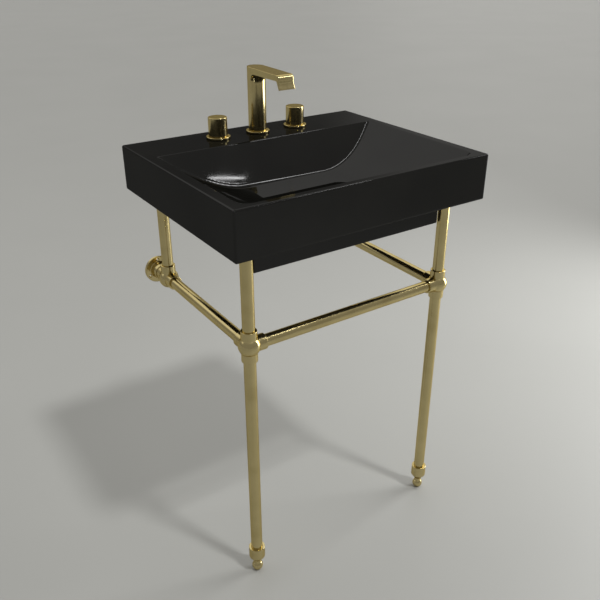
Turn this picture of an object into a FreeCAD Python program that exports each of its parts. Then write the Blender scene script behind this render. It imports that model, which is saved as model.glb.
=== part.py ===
import FreeCAD, Part
import math
import os
import re

import Sketcher
from FreeCAD import Placement, Rotation, Vector

# Wall-mounted basin on a two-legged tube stand, with a three-hole faucet and a push-open drain.
# Millimetres. X runs along the wall, Y = 0 is the wall, the front faces -Y and Z is up.
# The origin lies on the wall, midway between the basin's two wall bolt holes.
# Heights called drops are measured down from the basin's rim.

driving = {
    # Basin
    "basin_width": 603.0,
    "basin_depth": 489.0,
    "basin_height": 157.0,
    "rim_above_bolts": 60.0,
    "skirt_height": 98.0,
    "skirt_wall": 16.0,
    "edge_round": 4.0,
    "base_side_gap": 2.7,
    "base_setback": 61.0,
    "base_wall": 18.0,
    "base_corner": 4.0,
    "deck_depth": 127.0,
    "deck_thickness": 22.0,
    "bowl_depth": 98.0,
    "side_rim": 24.5,
    "bowl_side_run": 130.0,
    "bowl_back_run": 76.6,
    "bowl_front_run": 22.6,
    "front_rim": 16.0,
    "dish_radius": 560.0,
    "bowl_side_round": 215.0,
    "bowl_corner_round": 14.0,
    "bowl_corner_top": 28.0,
    "bowl_lip_round": 2.5,
    "bowl_wall": 16.0,
    "wall_bolt_spacing": 280.0,
    "wall_bolt_hole": 14.0,
    "post_seat_drop": 54.0,
    # Tube stand
    "tube_dia": 25.4,
    "tube_wall": 1.5,
    "leg_inset": 54.1,
    "leg_setback": 60.0,
    "rear_post_from_wall": 63.0,
    "rail_drop": 305.0,
    "floor_drop": 906.0,
    "pad_thick": 3.0,
    "ball_dia": 45.0,
    "collar_dia": 33.0,
    "collar_reach": 34.0,
    "collar_round": 1.2,
    "socket_stop": 14.0,
    "grub_dia": 5.0,
    "grub_place": 27.0,
    "grub_socket": 2.5,
    "grub_socket_depth": 1.6,
    "flange_dia": 64.0,
    "flange_thick": 6.0,
    "flange_bevel": 1.5,
    "flange_boss": 40.0,
    "flange_boss_end": 36.0,
    "flange_floor": 4.0,
    "flange_gap": 0.5,
    "flange_screw_circle": 49.0,
    "flange_screw_hole": 5.2,
    "flange_grub_back": 6.0,
    "cup_dia": 36.0,
    "cup_neck": 19.0,
    "cup_top": 70.0,
    "cup_seat": 47.0,
    "cup_shoulder": 42.0,
    "cup_bottom": 30.0,
    "foot_ball": 24.5,
    "foot_flat": 0.8,
    "foot_neck": 16.0,
    "foot_stem": 10.0,
    "foot_stem_top": 64.0,
    "foot_gap": 0.3,
    # Faucet above the deck
    "faucet_from_wall": 66.0,
    "handle_spacing": 203.2,
    "deck_hole": 34.0,
    "ring_dia": 53.0,
    "ring_thick": 4.5,
    "ring_bevel": 1.2,
    "gasket_dia": 49.0,
    "gasket_thick": 0.8,
    "spout_dia": 40.5,
    "spout_height": 145.0,
    "spout_reach": 127.0,
    "arm_thick": 14.0,
    "arm_fall": 2.4,
    "lip_drop": 31.0,
    "lip_thick": 2.0,
    "nose_lean": 2.2,
    "nose_depth": 11.0,
    "fold_round": 8.5,
    "water_way": 7.0,
    "aerator_dia": 18.0,
    "aerator_depth": 5.0,
    "aerator_reach": 105.0,
    "aerator_dish": 14.0,
    "aerator_dish_depth": 1.5,
    "knob_dia": 42.0,
    "knob_top": 47.0,
    "knob_bevel": 1.4,
    "knob_gap": 0.4,
    "knob_screw_height": 18.0,
    "knob_screw_dia": 4.0,
    "knob_screw_sunk": 0.8,
    # Faucet below the deck
    "shank_dia": 28.0,
    "shank_bore": 16.0,
    "shank_grip": 12.0,
    "shank_drop": 45.0,
    "washer_dia": 47.0,
    "washer_thick": 3.0,
    "deck_nut_across": 46.0,
    "deck_nut_thick": 8.0,
    "tee_width": 34.0,
    "tee_top_drop": 34.0,
    "tee_height": 28.0,
    "tee_bore": 16.0,
    "tee_sump": 2.0,
    "valve_dia": 29.8,
    "valve_top": 4.0,
    "valve_drop": 66.0,
    "cavity_dia": 20.2,
    "cavity_drop": 58.0,
    "inlet_dia": 20.955,
    "inlet_bore": 12.0,
    "inlet_drop": 100.0,
    "outlet_drop": 52.0,
    "outlet_boss": 18.0,
    "outlet_reach": 24.0,
    "outlet_bore": 8.0,
    "cross_dia": 12.0,
    "cross_wall": 1.0,
    "cross_grip": 8.0,
    "coupling_across": 19.0,
    "coupling_thick": 8.0,
    "bonnet_thick": 12.0,
    "bonnet_hole": 10.6,
    "stem_dia": 10.0,
    "stem_foot": 24.0,
    "stem_top": 28.0,
    # Drain
    "drain_setback": 154.0,
    "drain_hole": 45.0,
    "drain_seat_dia": 66.0,
    "drain_seat_depth": 3.0,
    "drain_flange_dia": 64.0,
    "drain_flange_thick": 2.5,
    "drain_tube_dia": 42.5,
    "drain_bore": 36.0,
    "drain_tube_drop": 150.0,
    "drain_bridge_drop": 122.0,
    "drain_bridge_height": 6.0,
    "drain_bridge_width": 9.0,
    "plug_dia": 46.0,
    "plug_thick": 4.0,
    "plug_bevel": 1.0,
    "plug_stem_dia": 8.0,
    "plug_stem_length": 44.0,
    "plug_gap": 0.2,
    "drain_gasket_dia": 62.0,
    "drain_gasket_thick": 4.0,
    "locknut_across": 58.0,
    "locknut_thick": 9.0,
    "tail_dia": 31.75,
    "tail_bore": 28.0,
    "tail_neck_dia": 30.6,
    "tail_neck": 20.0,
    "tail_drop": 195.0,
    # Fits
    "fit_gap": 0.05,
    "seat_gap": 0.2,
    "over_cut": 1.0,
}

# Sizes that follow from the driving ones.
following = {
    "leg_spacing": "=basin_width - 2 * leg_inset",
    "leg_from_wall": "=basin_depth - leg_setback",
    "base_width": "=leg_spacing - tube_dia - 2 * base_side_gap",
    "bowl_width": "=basin_width - 2 * side_rim",
    "bowl_floor_width": "=bowl_width - 2 * bowl_side_run",
    "drain_from_wall": "=basin_depth - drain_setback",
}

doc = FreeCAD.newDocument("wall_sink")
sheet = doc.addObject("Spreadsheet::Sheet", "sizes")
for row, (word, content) in enumerate({**driving, **following}.items(), start=1):
    sheet.set(f"A{row}", word)
    sheet.set(f"B{row}", str(content))
    sheet.setAlias(f"B{row}", word)
doc.recompute()

pieces = {}
turns = {
    "z": Rotation(),
    "-z": Rotation(Vector(1, 0, 0), 180),
    "y": Rotation(Vector(1, 0, 0), -90),
    "-y": Rotation(Vector(1, 0, 0), 90),
    "x": Rotation(Vector(0, 1, 0), 90),
    "-x": Rotation(Vector(0, 1, 0), -90),
}
steps = {"x": (1, 0, 0), "-x": (-1, 0, 0), "y": (0, 1, 0), "-y": (0, -1, 0), "z": (0, 0, 1), "-z": (0, 0, -1)}
rim = "rim_above_bolts"
left, right = -1, 1
sides = {"left": left, "right": right}
near = 0.01


def value(word):
    return float(sheet.get(word))


def tie(item, prop, formula):
    # Every word with an underscore in a formula is a cell of the sheet.
    cells = re.sub(r"[a-z]+(?:_[a-z]+)+", lambda found: "sizes." + found.group(), str(formula))
    item.setExpression(prop, cells)


def put(item, at, along="z"):
    item.Placement = Placement(Vector(), turns[along])
    for axis, formula in zip("xyz", at):
        tie(item, "Placement.Base." + axis, formula)
    return item


def beyond(at, along, formula):
    moved = []
    for base, step in zip(at, steps[along]):
        sign = {1: "+", -1: "-"}.get(step)
        moved.append(f"{base} {sign} ({formula})" if sign else base)
    return moved


def rod(name, dia, length, at, along="z"):
    item = doc.addObject("Part::Cylinder", name)
    tie(item, "Radius", f"({dia}) / 2")
    tie(item, "Height", length)
    return put(item, at, along)


def block(name, size, at):
    item = doc.addObject("Part::Box", name)
    for prop, formula in zip(("Length", "Width", "Height"), size):
        tie(item, prop, formula)
    return put(item, at)


def hexagon(name, across, length, at, along="z"):
    item = doc.addObject("Part::Prism", name)
    item.Polygon = 6
    tie(item, "Circumradius", f"({across}) / 2 / cos(30 deg)")
    tie(item, "Height", length)
    return put(item, at, along)


def joined(name, *items):
    item = doc.addObject("Part::MultiFuse", name)
    item.Shapes = list(items)
    return item


def minus(name, base, *tools):
    item = doc.addObject("Part::Cut", name)
    item.Base = base
    item.Tool = tools[0] if len(tools) == 1 else joined(name + "_tools", *tools)
    return item


def rounded(name, base, radius, picks, size_at=None):
    # size_at gives the radius at a point where it changes along an edge.
    doc.recompute()
    item = doc.addObject("Part::Fillet", name)
    item.Base = base
    size_at = size_at or (lambda point: value(radius))
    edges = [(n, edge) for n, edge in enumerate(base.Shape.Edges, start=1) if not edge.Degenerated]
    item.Edges = [(n, *(size_at(p) for p in points_on(edge, 2))) for n, edge in edges if picks(edge)]
    return item


def tube(name, dia, wall, length, at, along="z"):
    outside = rod(name + "_outside", dia, length, at, along)
    inside = rod(name + "_inside", f"({dia}) - 2 * ({wall})", length, at, along)
    return minus(name, outside, inside)


def draw(sketch, outline):
    # A closed outline of straight lines, each corner held by two distances from the sketch's origin.
    count = len(outline)
    start = [(math.cos(2 * math.pi * n / count), math.sin(2 * math.pi * n / count)) for n in range(count)]
    for n in range(count):
        ends = [Vector(*start[k % count], 0) for k in (n, n + 1)]
        sketch.addGeometry(Part.LineSegment(*ends))
    for n in range(count):
        sketch.addConstraint(Sketcher.Constraint("Coincident", n, 2, (n + 1) % count, 1))
    for n, corner in enumerate(outline):
        for kind, formula, first in zip(("DistanceX", "DistanceY"), corner, start[n]):
            place = sketch.addConstraint(Sketcher.Constraint(kind, -1, 1, n, 1, first))
            tie(sketch, f"Constraints[{place}]", formula)


def turned(name, outline, at, along="z"):
    # Outline corners are (radius, height along the axis).
    body = doc.addObject("PartDesign::Body", name)
    sketch = body.newObject("Sketcher::SketchObject", name + "_outline")
    plane = next(item for item in body.Origin.OriginFeatures if item.Role == "XZ_Plane")
    sketch.AttachmentSupport = [(plane, "")]
    sketch.MapMode = "FlatFace"
    draw(sketch, outline)
    spun = body.newObject("PartDesign::Revolution", name + "_spun")
    spun.Profile = sketch
    spun.ReferenceAxis = (sketch, ["V_Axis"])
    spun.Angle = 360
    return put(body, at, along)


def finish(label, item):
    item.Label = label
    pieces[label] = item


def finish_group(label, items):
    item = doc.addObject("Part::Compound", label + "_group")
    item.Links = list(items)
    finish(label, item)


def points_on(edge, count=5):
    first, last = edge.ParameterRange
    return [edge.valueAt(first + (last - first) * n / (count - 1)) for n in range(count)]


# Basin

def bowl_wedge(name, grow):
    # The bowl's space, or with grow its outside: flat floor, sloping sides, back and front.
    item = doc.addObject("Part::Wedge", name)
    rise = f"(over_cut + {grow}) / bowl_depth"
    floor_half = f"bowl_floor_width / 2 + {grow}"
    top_half = f"bowl_width / 2 + {grow} + bowl_side_run * {rise}"
    front = "basin_depth - front_rim"
    tie(item, "Ymin", f"-bowl_depth - {grow}")
    tie(item, "Ymax", "over_cut")
    tie(item, "Xmin", f"-({floor_half})")
    tie(item, "Xmax", floor_half)
    tie(item, "Zmin", f"deck_depth + bowl_back_run - {grow}")
    tie(item, "Zmax", f"{front} - bowl_front_run + {grow}")
    tie(item, "X2min", f"-({top_half})")
    tie(item, "X2max", top_half)
    tie(item, "Z2min", f"deck_depth - {grow} - bowl_back_run * {rise}")
    tie(item, "Z2max", f"{front} + {grow} + bowl_front_run * {rise}")
    return put(item, ("0", "0", rim), "-y")


def make_bowl_space():
    # The floor is a shallow dish, lowest along the line of the drain.
    dish = value("dish_radius")
    dish_level = value("rim_above_bolts") - value("bowl_depth") + dish
    back = value("deck_depth")
    back_run = value("bowl_back_run") / value("bowl_depth")
    front = value("basin_depth") - value("front_rim")
    front_run = value("bowl_front_run") / value("bowl_depth")
    side_run = value("bowl_side_run") / value("bowl_depth")
    dish_at = ("-basin_width / 2", "-drain_from_wall", f"{rim} - bowl_depth + dish_radius")
    dished = doc.addObject("Part::Common", "bowl_dished")
    dished.Base = bowl_wedge("bowl_wedge", "0")
    dished.Tool = rod("bowl_dish", "2 * dish_radius", "basin_width", dish_at, "x")

    def floor_side(edge):
        spots = points_on(edge)
        drops = [value("rim_above_bolts") - p.z for p in spots]
        out = value("bowl_width") / 2
        on_side = all(abs(out - side_run * d - abs(p.x)) < near for p, d in zip(spots, drops))
        away = [math.hypot(p.y + value("drain_from_wall"), p.z - dish_level) for p in spots]
        return on_side and all(abs(r - dish) < near for r in away)

    def crease(edge):
        spots = points_on(edge)
        drops = [value("rim_above_bolts") - p.z for p in spots]
        on_back = all(abs(-p.y - back - back_run * d) < near for p, d in zip(spots, drops))
        on_front = all(abs(-p.y - front + front_run * d) < near for p, d in zip(spots, drops))
        return (on_back or on_front) and max(drops) > near

    def crease_size(point):
        at_top = point.z > value("rim_above_bolts")
        return value("bowl_corner_top") if at_top else value("bowl_corner_round")

    swept = rounded("bowl_swept", dished, "bowl_side_round", floor_side)
    return rounded("bowl_space", swept, "bowl_corner_round", crease, crease_size)


def make_basin():
    half = "basin_width / 2"
    skirt_foot = f"{rim} - skirt_height"
    base_foot = f"{rim} - basin_height"
    base_depth = "basin_depth - base_setback"
    skirt_size = ("basin_width", "basin_depth", "skirt_height")
    skirt = block("basin_skirt", skirt_size, (f"-{half}", "-basin_depth", skirt_foot))
    skirt = rounded("basin_skirt_round", skirt, "edge_round", lambda edge: True)
    base_size = ("base_width", base_depth, "basin_height - deck_thickness")
    base_at = ("-base_width / 2", f"-({base_depth})", base_foot)
    base = block("basin_base", base_size, base_at)
    base_front = -(value("basin_depth") - value("base_setback"))

    def base_upright(edge):
        ends = points_on(edge, 2)
        upright = abs(ends[0].z - ends[1].z) > near
        return upright and abs(ends[0].y - base_front) < near

    base = rounded("basin_base_round", base, "base_corner", base_upright)
    base_level = value("rim_above_bolts") - value("basin_height")
    base = rounded(
        "basin_base_foot", base, "edge_round",
        lambda edge: all(abs(p.z - base_level) < near and p.y < -near for p in points_on(edge)[1:-1]),
    )
    solid = joined("basin_solid", skirt, base)
    hollow_size = (
        "base_width - 2 * base_wall",
        f"{base_depth} - base_wall - skirt_wall",
        "basin_height - deck_thickness + over_cut",
    )
    hollow_at = ("-base_width / 2 + base_wall", f"-({base_depth} - base_wall)", f"{base_foot} - over_cut")
    hollow = block("basin_hollow_box", hollow_size, hollow_at)
    hollow = minus("basin_hollow", hollow, bowl_wedge("bowl_outside", "bowl_wall"))
    cuts = [make_bowl_space(), hollow]
    pocket_width = f"{half} - skirt_wall - base_width / 2"
    pocket_size = (pocket_width, "basin_depth - 2 * skirt_wall", "skirt_height - post_seat_drop + over_cut")
    for word, side in sides.items():
        corner = "base_width / 2" if side == right else f"-{half} + skirt_wall"
        pocket_at = (corner, "-basin_depth + skirt_wall", f"{skirt_foot} - over_cut")
        cuts.append(block(f"post_pocket_{word}", pocket_size, pocket_at))
        bolt_at = (f"{side} * wall_bolt_spacing / 2", "over_cut", "0")
        through = "skirt_wall + 2 * over_cut"
        cuts.append(rod(f"wall_bolt_hole_{word}", "wall_bolt_hole", through, bolt_at, "-y"))
    for n, shift in enumerate((left, 0, right)):
        hole_at = (f"{shift} * handle_spacing / 2", "-faucet_from_wall", f"{rim} - deck_thickness - over_cut")
        cuts.append(rod(f"deck_hole_{n}", "deck_hole", "deck_thickness + 2 * over_cut", hole_at))
    seat_at = ("0", "-drain_from_wall", f"{rim} - bowl_depth - drain_seat_depth")
    cuts.append(rod("drain_seat", "drain_seat_dia", "2 * drain_seat_depth", seat_at))
    hole_at = ("0", "-drain_from_wall", f"{rim} - bowl_depth - bowl_wall - over_cut")
    cuts.append(rod("drain_hole_rod", "drain_hole", "bowl_wall + over_cut", hole_at))
    cut = minus("basin_cut", solid, *cuts)
    rim_level = value("rim_above_bolts")
    bowl_edge = value("bowl_width") / 2 + near
    deck_edge = -value("deck_depth") + near

    front_edge = -value("basin_depth") + value("edge_round") + near

    def bowl_lip(edge):
        spots = points_on(edge)
        level = all(abs(p.z - rim_level) < near for p in spots)
        return level and all(abs(p.x) < bowl_edge and front_edge < p.y < deck_edge for p in spots)

    finish("basin", rounded("basin_lip", cut, "bowl_lip_round", bowl_lip))


# Tube stand

def make_fitting(label, at, branches, grubs):
    ball = doc.addObject("Part::Sphere", label + "_ball")
    tie(ball, "Radius", "ball_dia / 2")
    put(ball, at)
    collars = []
    sockets = []
    for n, (along, facing) in enumerate(branches.items()):
        name = f"{label}_branch_{n}"
        collars.append(rod(name, "collar_dia", "collar_reach", at, along))
        mouth = beyond(at, along, "socket_stop")
        depth = "collar_reach - socket_stop + over_cut"
        sockets.append(rod(name + "_socket", "tube_dia + 2 * fit_gap", depth, mouth, along))
        grub = beyond(at, along, "grub_place")
        through = "collar_dia / 2 + over_cut"
        sockets.append(rod(name + "_grub", "grub_dia + 2 * fit_gap", through, grub, facing))
        start = beyond(grub, facing, "tube_dia / 2 + seat_gap")
        grub_length = "(collar_dia - tube_dia) / 2 - 2 * seat_gap"
        grubs.append(grub_screw(name + "_screw", grub_length, start, facing))
    cast = minus(label + "_cast", joined(label + "_solid", ball, *collars), *sockets)
    doc.recompute()
    centre = ball.Placement.Base
    end_distance = math.hypot(value("collar_dia") / 2, value("collar_reach"))

    def collar_end(edge):
        return all(abs((p - centre).Length - end_distance) < near for p in points_on(edge))

    finish(label, rounded(label + "_round", cast, "collar_round", collar_end))


def grub_screw(name, length, at, along):
    shaft = rod(name + "_shaft", "grub_dia", length, at, along)
    mouth = beyond(at, along, f"{length} - grub_socket_depth")
    socket = hexagon(name + "_hex", "grub_socket", "grub_socket_depth + over_cut", mouth, along)
    return minus(name, shaft, socket)


def make_flange(label, at, grubs):
    boss = "rear_post_from_wall - collar_reach - flange_gap"
    bore = "tube_dia / 2 + fit_gap"
    outline = (
        ("0", "0"),
        ("flange_dia / 2", "0"),
        ("flange_dia / 2", "flange_thick - flange_bevel"),
        ("flange_dia / 2 - flange_bevel", "flange_thick"),
        ("flange_boss / 2", "flange_thick"),
        ("flange_boss_end / 2", boss),
        (bore, boss),
        (bore, "flange_floor"),
        ("0", "flange_floor"),
    )
    disc = turned(label + "_disc", outline, at, "-y")
    cuts = []
    for n, angle in enumerate((90, 210, 330)):
        hole = (
            f"{at[0]} + flange_screw_circle / 2 * cos({angle} deg)",
            "over_cut",
            f"{at[2]} + flange_screw_circle / 2 * sin({angle} deg)",
        )
        cuts.append(rod(f"{label}_hole_{n}", "flange_screw_hole", "flange_thick + 2 * over_cut", hole, "-y"))
    grub = (at[0], f"-({boss} - flange_grub_back)", at[2])
    cuts.append(rod(label + "_grub", "grub_dia + 2 * fit_gap", "flange_boss / 2", grub, "-z"))
    start = beyond(grub, "-z", "tube_dia / 2 + seat_gap")
    grub_length = "(flange_boss_end - tube_dia) / 2 - 2 * seat_gap"
    grubs.append(grub_screw(label + "_screw", grub_length, start, "-z"))
    finish(label, minus(label + "_cut", disc, *cuts))


def make_foot(word, x):
    floor = f"{rim} - floor_drop"
    at = (x, "-leg_from_wall", floor)
    bore = "tube_dia / 2 + fit_gap"
    stem_hole = "foot_stem / 2 + fit_gap"
    cup = (
        (stem_hole, "cup_bottom"),
        ("cup_neck / 2", "cup_bottom"),
        ("cup_dia / 2", "cup_shoulder"),
        ("cup_dia / 2", "cup_top"),
        (bore, "cup_top"),
        (bore, "cup_seat"),
        (stem_hole, "cup_seat"),
    )
    finish(f"foot_cup_{word}", turned(f"cup_{word}", cup, at))
    ball = doc.addObject("Part::Sphere", f"foot_ball_{word}")
    tie(ball, "Radius", "foot_ball / 2")
    put(ball, beyond(at, "z", "foot_ball / 2 - foot_flat"))
    neck_at = beyond(at, "z", "foot_ball / 2")
    neck = rod(f"foot_neck_{word}", "foot_neck", "cup_bottom - foot_gap - foot_ball / 2", neck_at)
    stem = rod(f"foot_stem_{word}", "foot_stem", "foot_stem_top - foot_ball / 2", neck_at)
    foot = joined(f"foot_{word}_solid", ball, neck, stem)
    below = rod(f"foot_{word}_below", "foot_ball", "foot_ball", at, "-z")
    finish(f"levelling_foot_{word}", minus(f"foot_{word}_cut", foot, below))


def make_stand():
    grubs = []
    pads = []
    rail_level = f"{rim} - rail_drop"
    post_foot = f"{rail_level} + socket_stop"
    post_length = "rail_drop - socket_stop - post_seat_drop - pad_thick"
    for word, side in sides.items():
        x = f"{side} * leg_spacing / 2"
        inward = "x" if side == left else "-x"
        front = (x, "-leg_from_wall", rail_level)
        rear = (x, "-rear_post_from_wall", rail_level)
        front_branches = {"z": "y", "-z": "y", inward: "-z", "y": "-z"}
        rear_branches = {"z": "y", "-y": "-z", "y": "-z"}
        make_fitting(f"front_fitting_{word}", front, front_branches, grubs)
        make_fitting(f"rear_fitting_{word}", rear, rear_branches, grubs)
        for end, at in (("front", front), ("rear", rear)):
            post_at = (at[0], at[1], post_foot)
            post = tube(f"{end}_post_tube_{word}", "tube_dia", "tube_wall", post_length, post_at)
            finish(f"{end}_post_{word}", post)
            pad_at = (at[0], at[1], f"{rim} - post_seat_drop - pad_thick")
            pads.append(rod(f"{end}_pad_{word}", "tube_dia", "pad_thick", pad_at))
        leg_at = (x, "-leg_from_wall", f"{rim} - floor_drop + cup_seat")
        leg_length = "floor_drop - rail_drop - socket_stop - cup_seat"
        finish(f"leg_{word}", tube(f"leg_tube_{word}", "tube_dia", "tube_wall", leg_length, leg_at))
        rail_at = (x, "-leg_from_wall + socket_stop", rail_level)
        rail_length = "leg_from_wall - rear_post_from_wall - 2 * socket_stop"
        rail = tube(f"side_rail_tube_{word}", "tube_dia", "tube_wall", rail_length, rail_at, "y")
        finish(f"side_rail_{word}", rail)
        nipple_at = (x, "-rear_post_from_wall + socket_stop", rail_level)
        nipple_length = "rear_post_from_wall - socket_stop - flange_floor"
        nipple = tube(f"nipple_tube_{word}", "tube_dia", "tube_wall", nipple_length, nipple_at, "y")
        finish(f"wall_nipple_{word}", nipple)
        make_flange(f"wall_flange_{word}", (x, "0", rail_level), grubs)
        make_foot(word, x)
    rail_at = ("-leg_spacing / 2 + socket_stop", "-leg_from_wall", rail_level)
    rail_length = "leg_spacing - 2 * socket_stop"
    finish("front_rail", tube("front_rail_tube", "tube_dia", "tube_wall", rail_length, rail_at, "x"))
    finish_group("support_pads", pads)
    finish_group("fitting_grub_screws", grubs)


# Faucet

def base_ring(name, hole, x):
    outline = (
        (hole, "0"),
        ("ring_dia / 2", "0"),
        ("ring_dia / 2", "ring_thick - ring_bevel"),
        ("ring_dia / 2 - ring_bevel", "ring_thick"),
        (hole, "ring_thick"),
    )
    return turned(name, outline, (x, "-faucet_from_wall", f"{rim} + gasket_thick"))


def make_spout():
    base = f"{rim} + gasket_thick + ring_thick"
    top = f"{rim} + spout_height"
    under = f"{top} - arm_thick"
    axis = ("0", "-faucet_from_wall")
    column_length = "spout_height - gasket_thick - ring_thick - arm_thick / 2"
    column = rod("spout_column", "spout_dia", column_length, (*axis, base))
    back = "-faucet_from_wall + spout_dia / 2 + over_cut"
    reach = "-faucet_from_wall - spout_reach"
    lip = f"{top} - lip_drop"
    profile = (
        (back, top),
        (f"{reach} + nose_lean", f"{top} - arm_fall"),
        (reach, lip),
        (f"{reach} + lip_thick", lip),
        (f"{reach} + nose_depth", under),
        (back, under),
    )
    sketch = doc.addObject("Sketcher::SketchObject", "spout_profile")
    sketch.Placement = Placement(Vector(), Rotation(Vector(1, 1, 1), 120))
    draw(sketch, profile)
    slab = doc.addObject("Part::Extrusion", "spout_slab")
    slab.Base = sketch
    slab.Dir = Vector(1, 0, 0)
    slab.DirMode = "Custom"
    slab.Solid = True
    slab.Symmetric = True
    tie(slab, "LengthFwd", "spout_dia")
    fold_y = -value("faucet_from_wall") - value("spout_reach") + value("nose_lean")
    fold_z = value("rim_above_bolts") + value("spout_height") - value("arm_fall")

    def fold(edge):
        return all(abs(p.y - fold_y) < near and abs(p.z - fold_z) < near for p in points_on(edge))

    slab = rounded("spout_fold", slab, "fold_round", fold)
    arm_low = (*axis, f"{top} - lip_drop - over_cut")
    arm_tall = "lip_drop + 2 * over_cut"
    round_back = rod("spout_round_back", "spout_dia", arm_tall, arm_low)
    straight_size = ("spout_dia", "spout_reach + over_cut", arm_tall)
    straight = block("spout_straight", straight_size, ("-spout_dia / 2", f"{reach} - over_cut", arm_low[2]))
    arm = doc.addObject("Part::MultiCommon", "spout_arm")
    arm.Shapes = [slab, joined("spout_plan", round_back, straight)]
    solid = joined("spout_solid", column, arm)
    water_level = f"{under} + (arm_thick - arm_fall) / 2"
    aerator_at = ("0", "-faucet_from_wall - aerator_reach", under)
    riser = rod("spout_riser", "water_way", f"{column_length}", (*axis, base))
    grip_at = (*axis, f"{base} - over_cut")
    grip = rod("spout_grip", "shank_dia + 2 * fit_gap", "shank_grip + over_cut", grip_at)
    run = rod("spout_run", "water_way", "aerator_reach", (*axis, water_level), "-y")
    outlet_at = beyond(aerator_at, "-z", "over_cut")
    outlet = rod("spout_outlet", "aerator_dia + 2 * fit_gap", "aerator_depth + over_cut", outlet_at)
    gripped = minus("spout_gripped", solid, grip)
    risen = minus("spout_risen", gripped, riser)
    ported = minus("spout_ported", risen, outlet)
    finish("spout", minus("spout_body", ported, run))
    disc = rod("aerator_disc", "aerator_dia", "aerator_depth - seat_gap", aerator_at)
    dish = rod("aerator_hollow", "aerator_dish", "aerator_dish_depth", aerator_at)
    finish("aerator", minus("aerator_cut", disc, dish))
    finish("spout_base_ring", base_ring("spout_ring", "shank_dia / 2 + fit_gap", "0"))
    shank_at = (*axis, f"{rim} - shank_drop")
    shank_length = "shank_drop + gasket_thick + ring_thick + shank_grip"
    wall = "(shank_dia - shank_bore) / 2"
    finish("spout_shank", tube("shank", "shank_dia", wall, shank_length, shank_at))
    tee_low = f"{rim} - tee_top_drop - tee_height"
    half_tee = "tee_width / 2"
    tee_at = (f"-{half_tee}", f"-faucet_from_wall - {half_tee}", tee_low)
    tee = block("tee_block", ("tee_width", "tee_width", "tee_height"), tee_at)
    grip_length = "shank_drop - tee_top_drop + over_cut"
    water_at = (*axis, f"{rim} - outlet_drop - outlet_bore / 2 - tee_sump")
    cuts = [
        rod("tee_grip", "shank_dia + 2 * fit_gap", grip_length, shank_at),
        rod("tee_water", "tee_bore", "shank_drop", water_at),
    ]
    outlet = (*axis, f"{rim} - outlet_drop")
    socket_dia = "cross_dia + 2 * fit_gap"
    for word, along in (("left", "-x"), ("right", "x")):
        port = beyond(outlet, along, f"{half_tee} - cross_grip")
        cuts.append(rod(f"tee_port_{word}", "outlet_bore", half_tee, outlet, along))
        cuts.append(rod(f"tee_socket_{word}", socket_dia, "cross_grip + over_cut", port, along))
    finish("spout_tee", minus("tee_cut", tee, *cuts))


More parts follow.
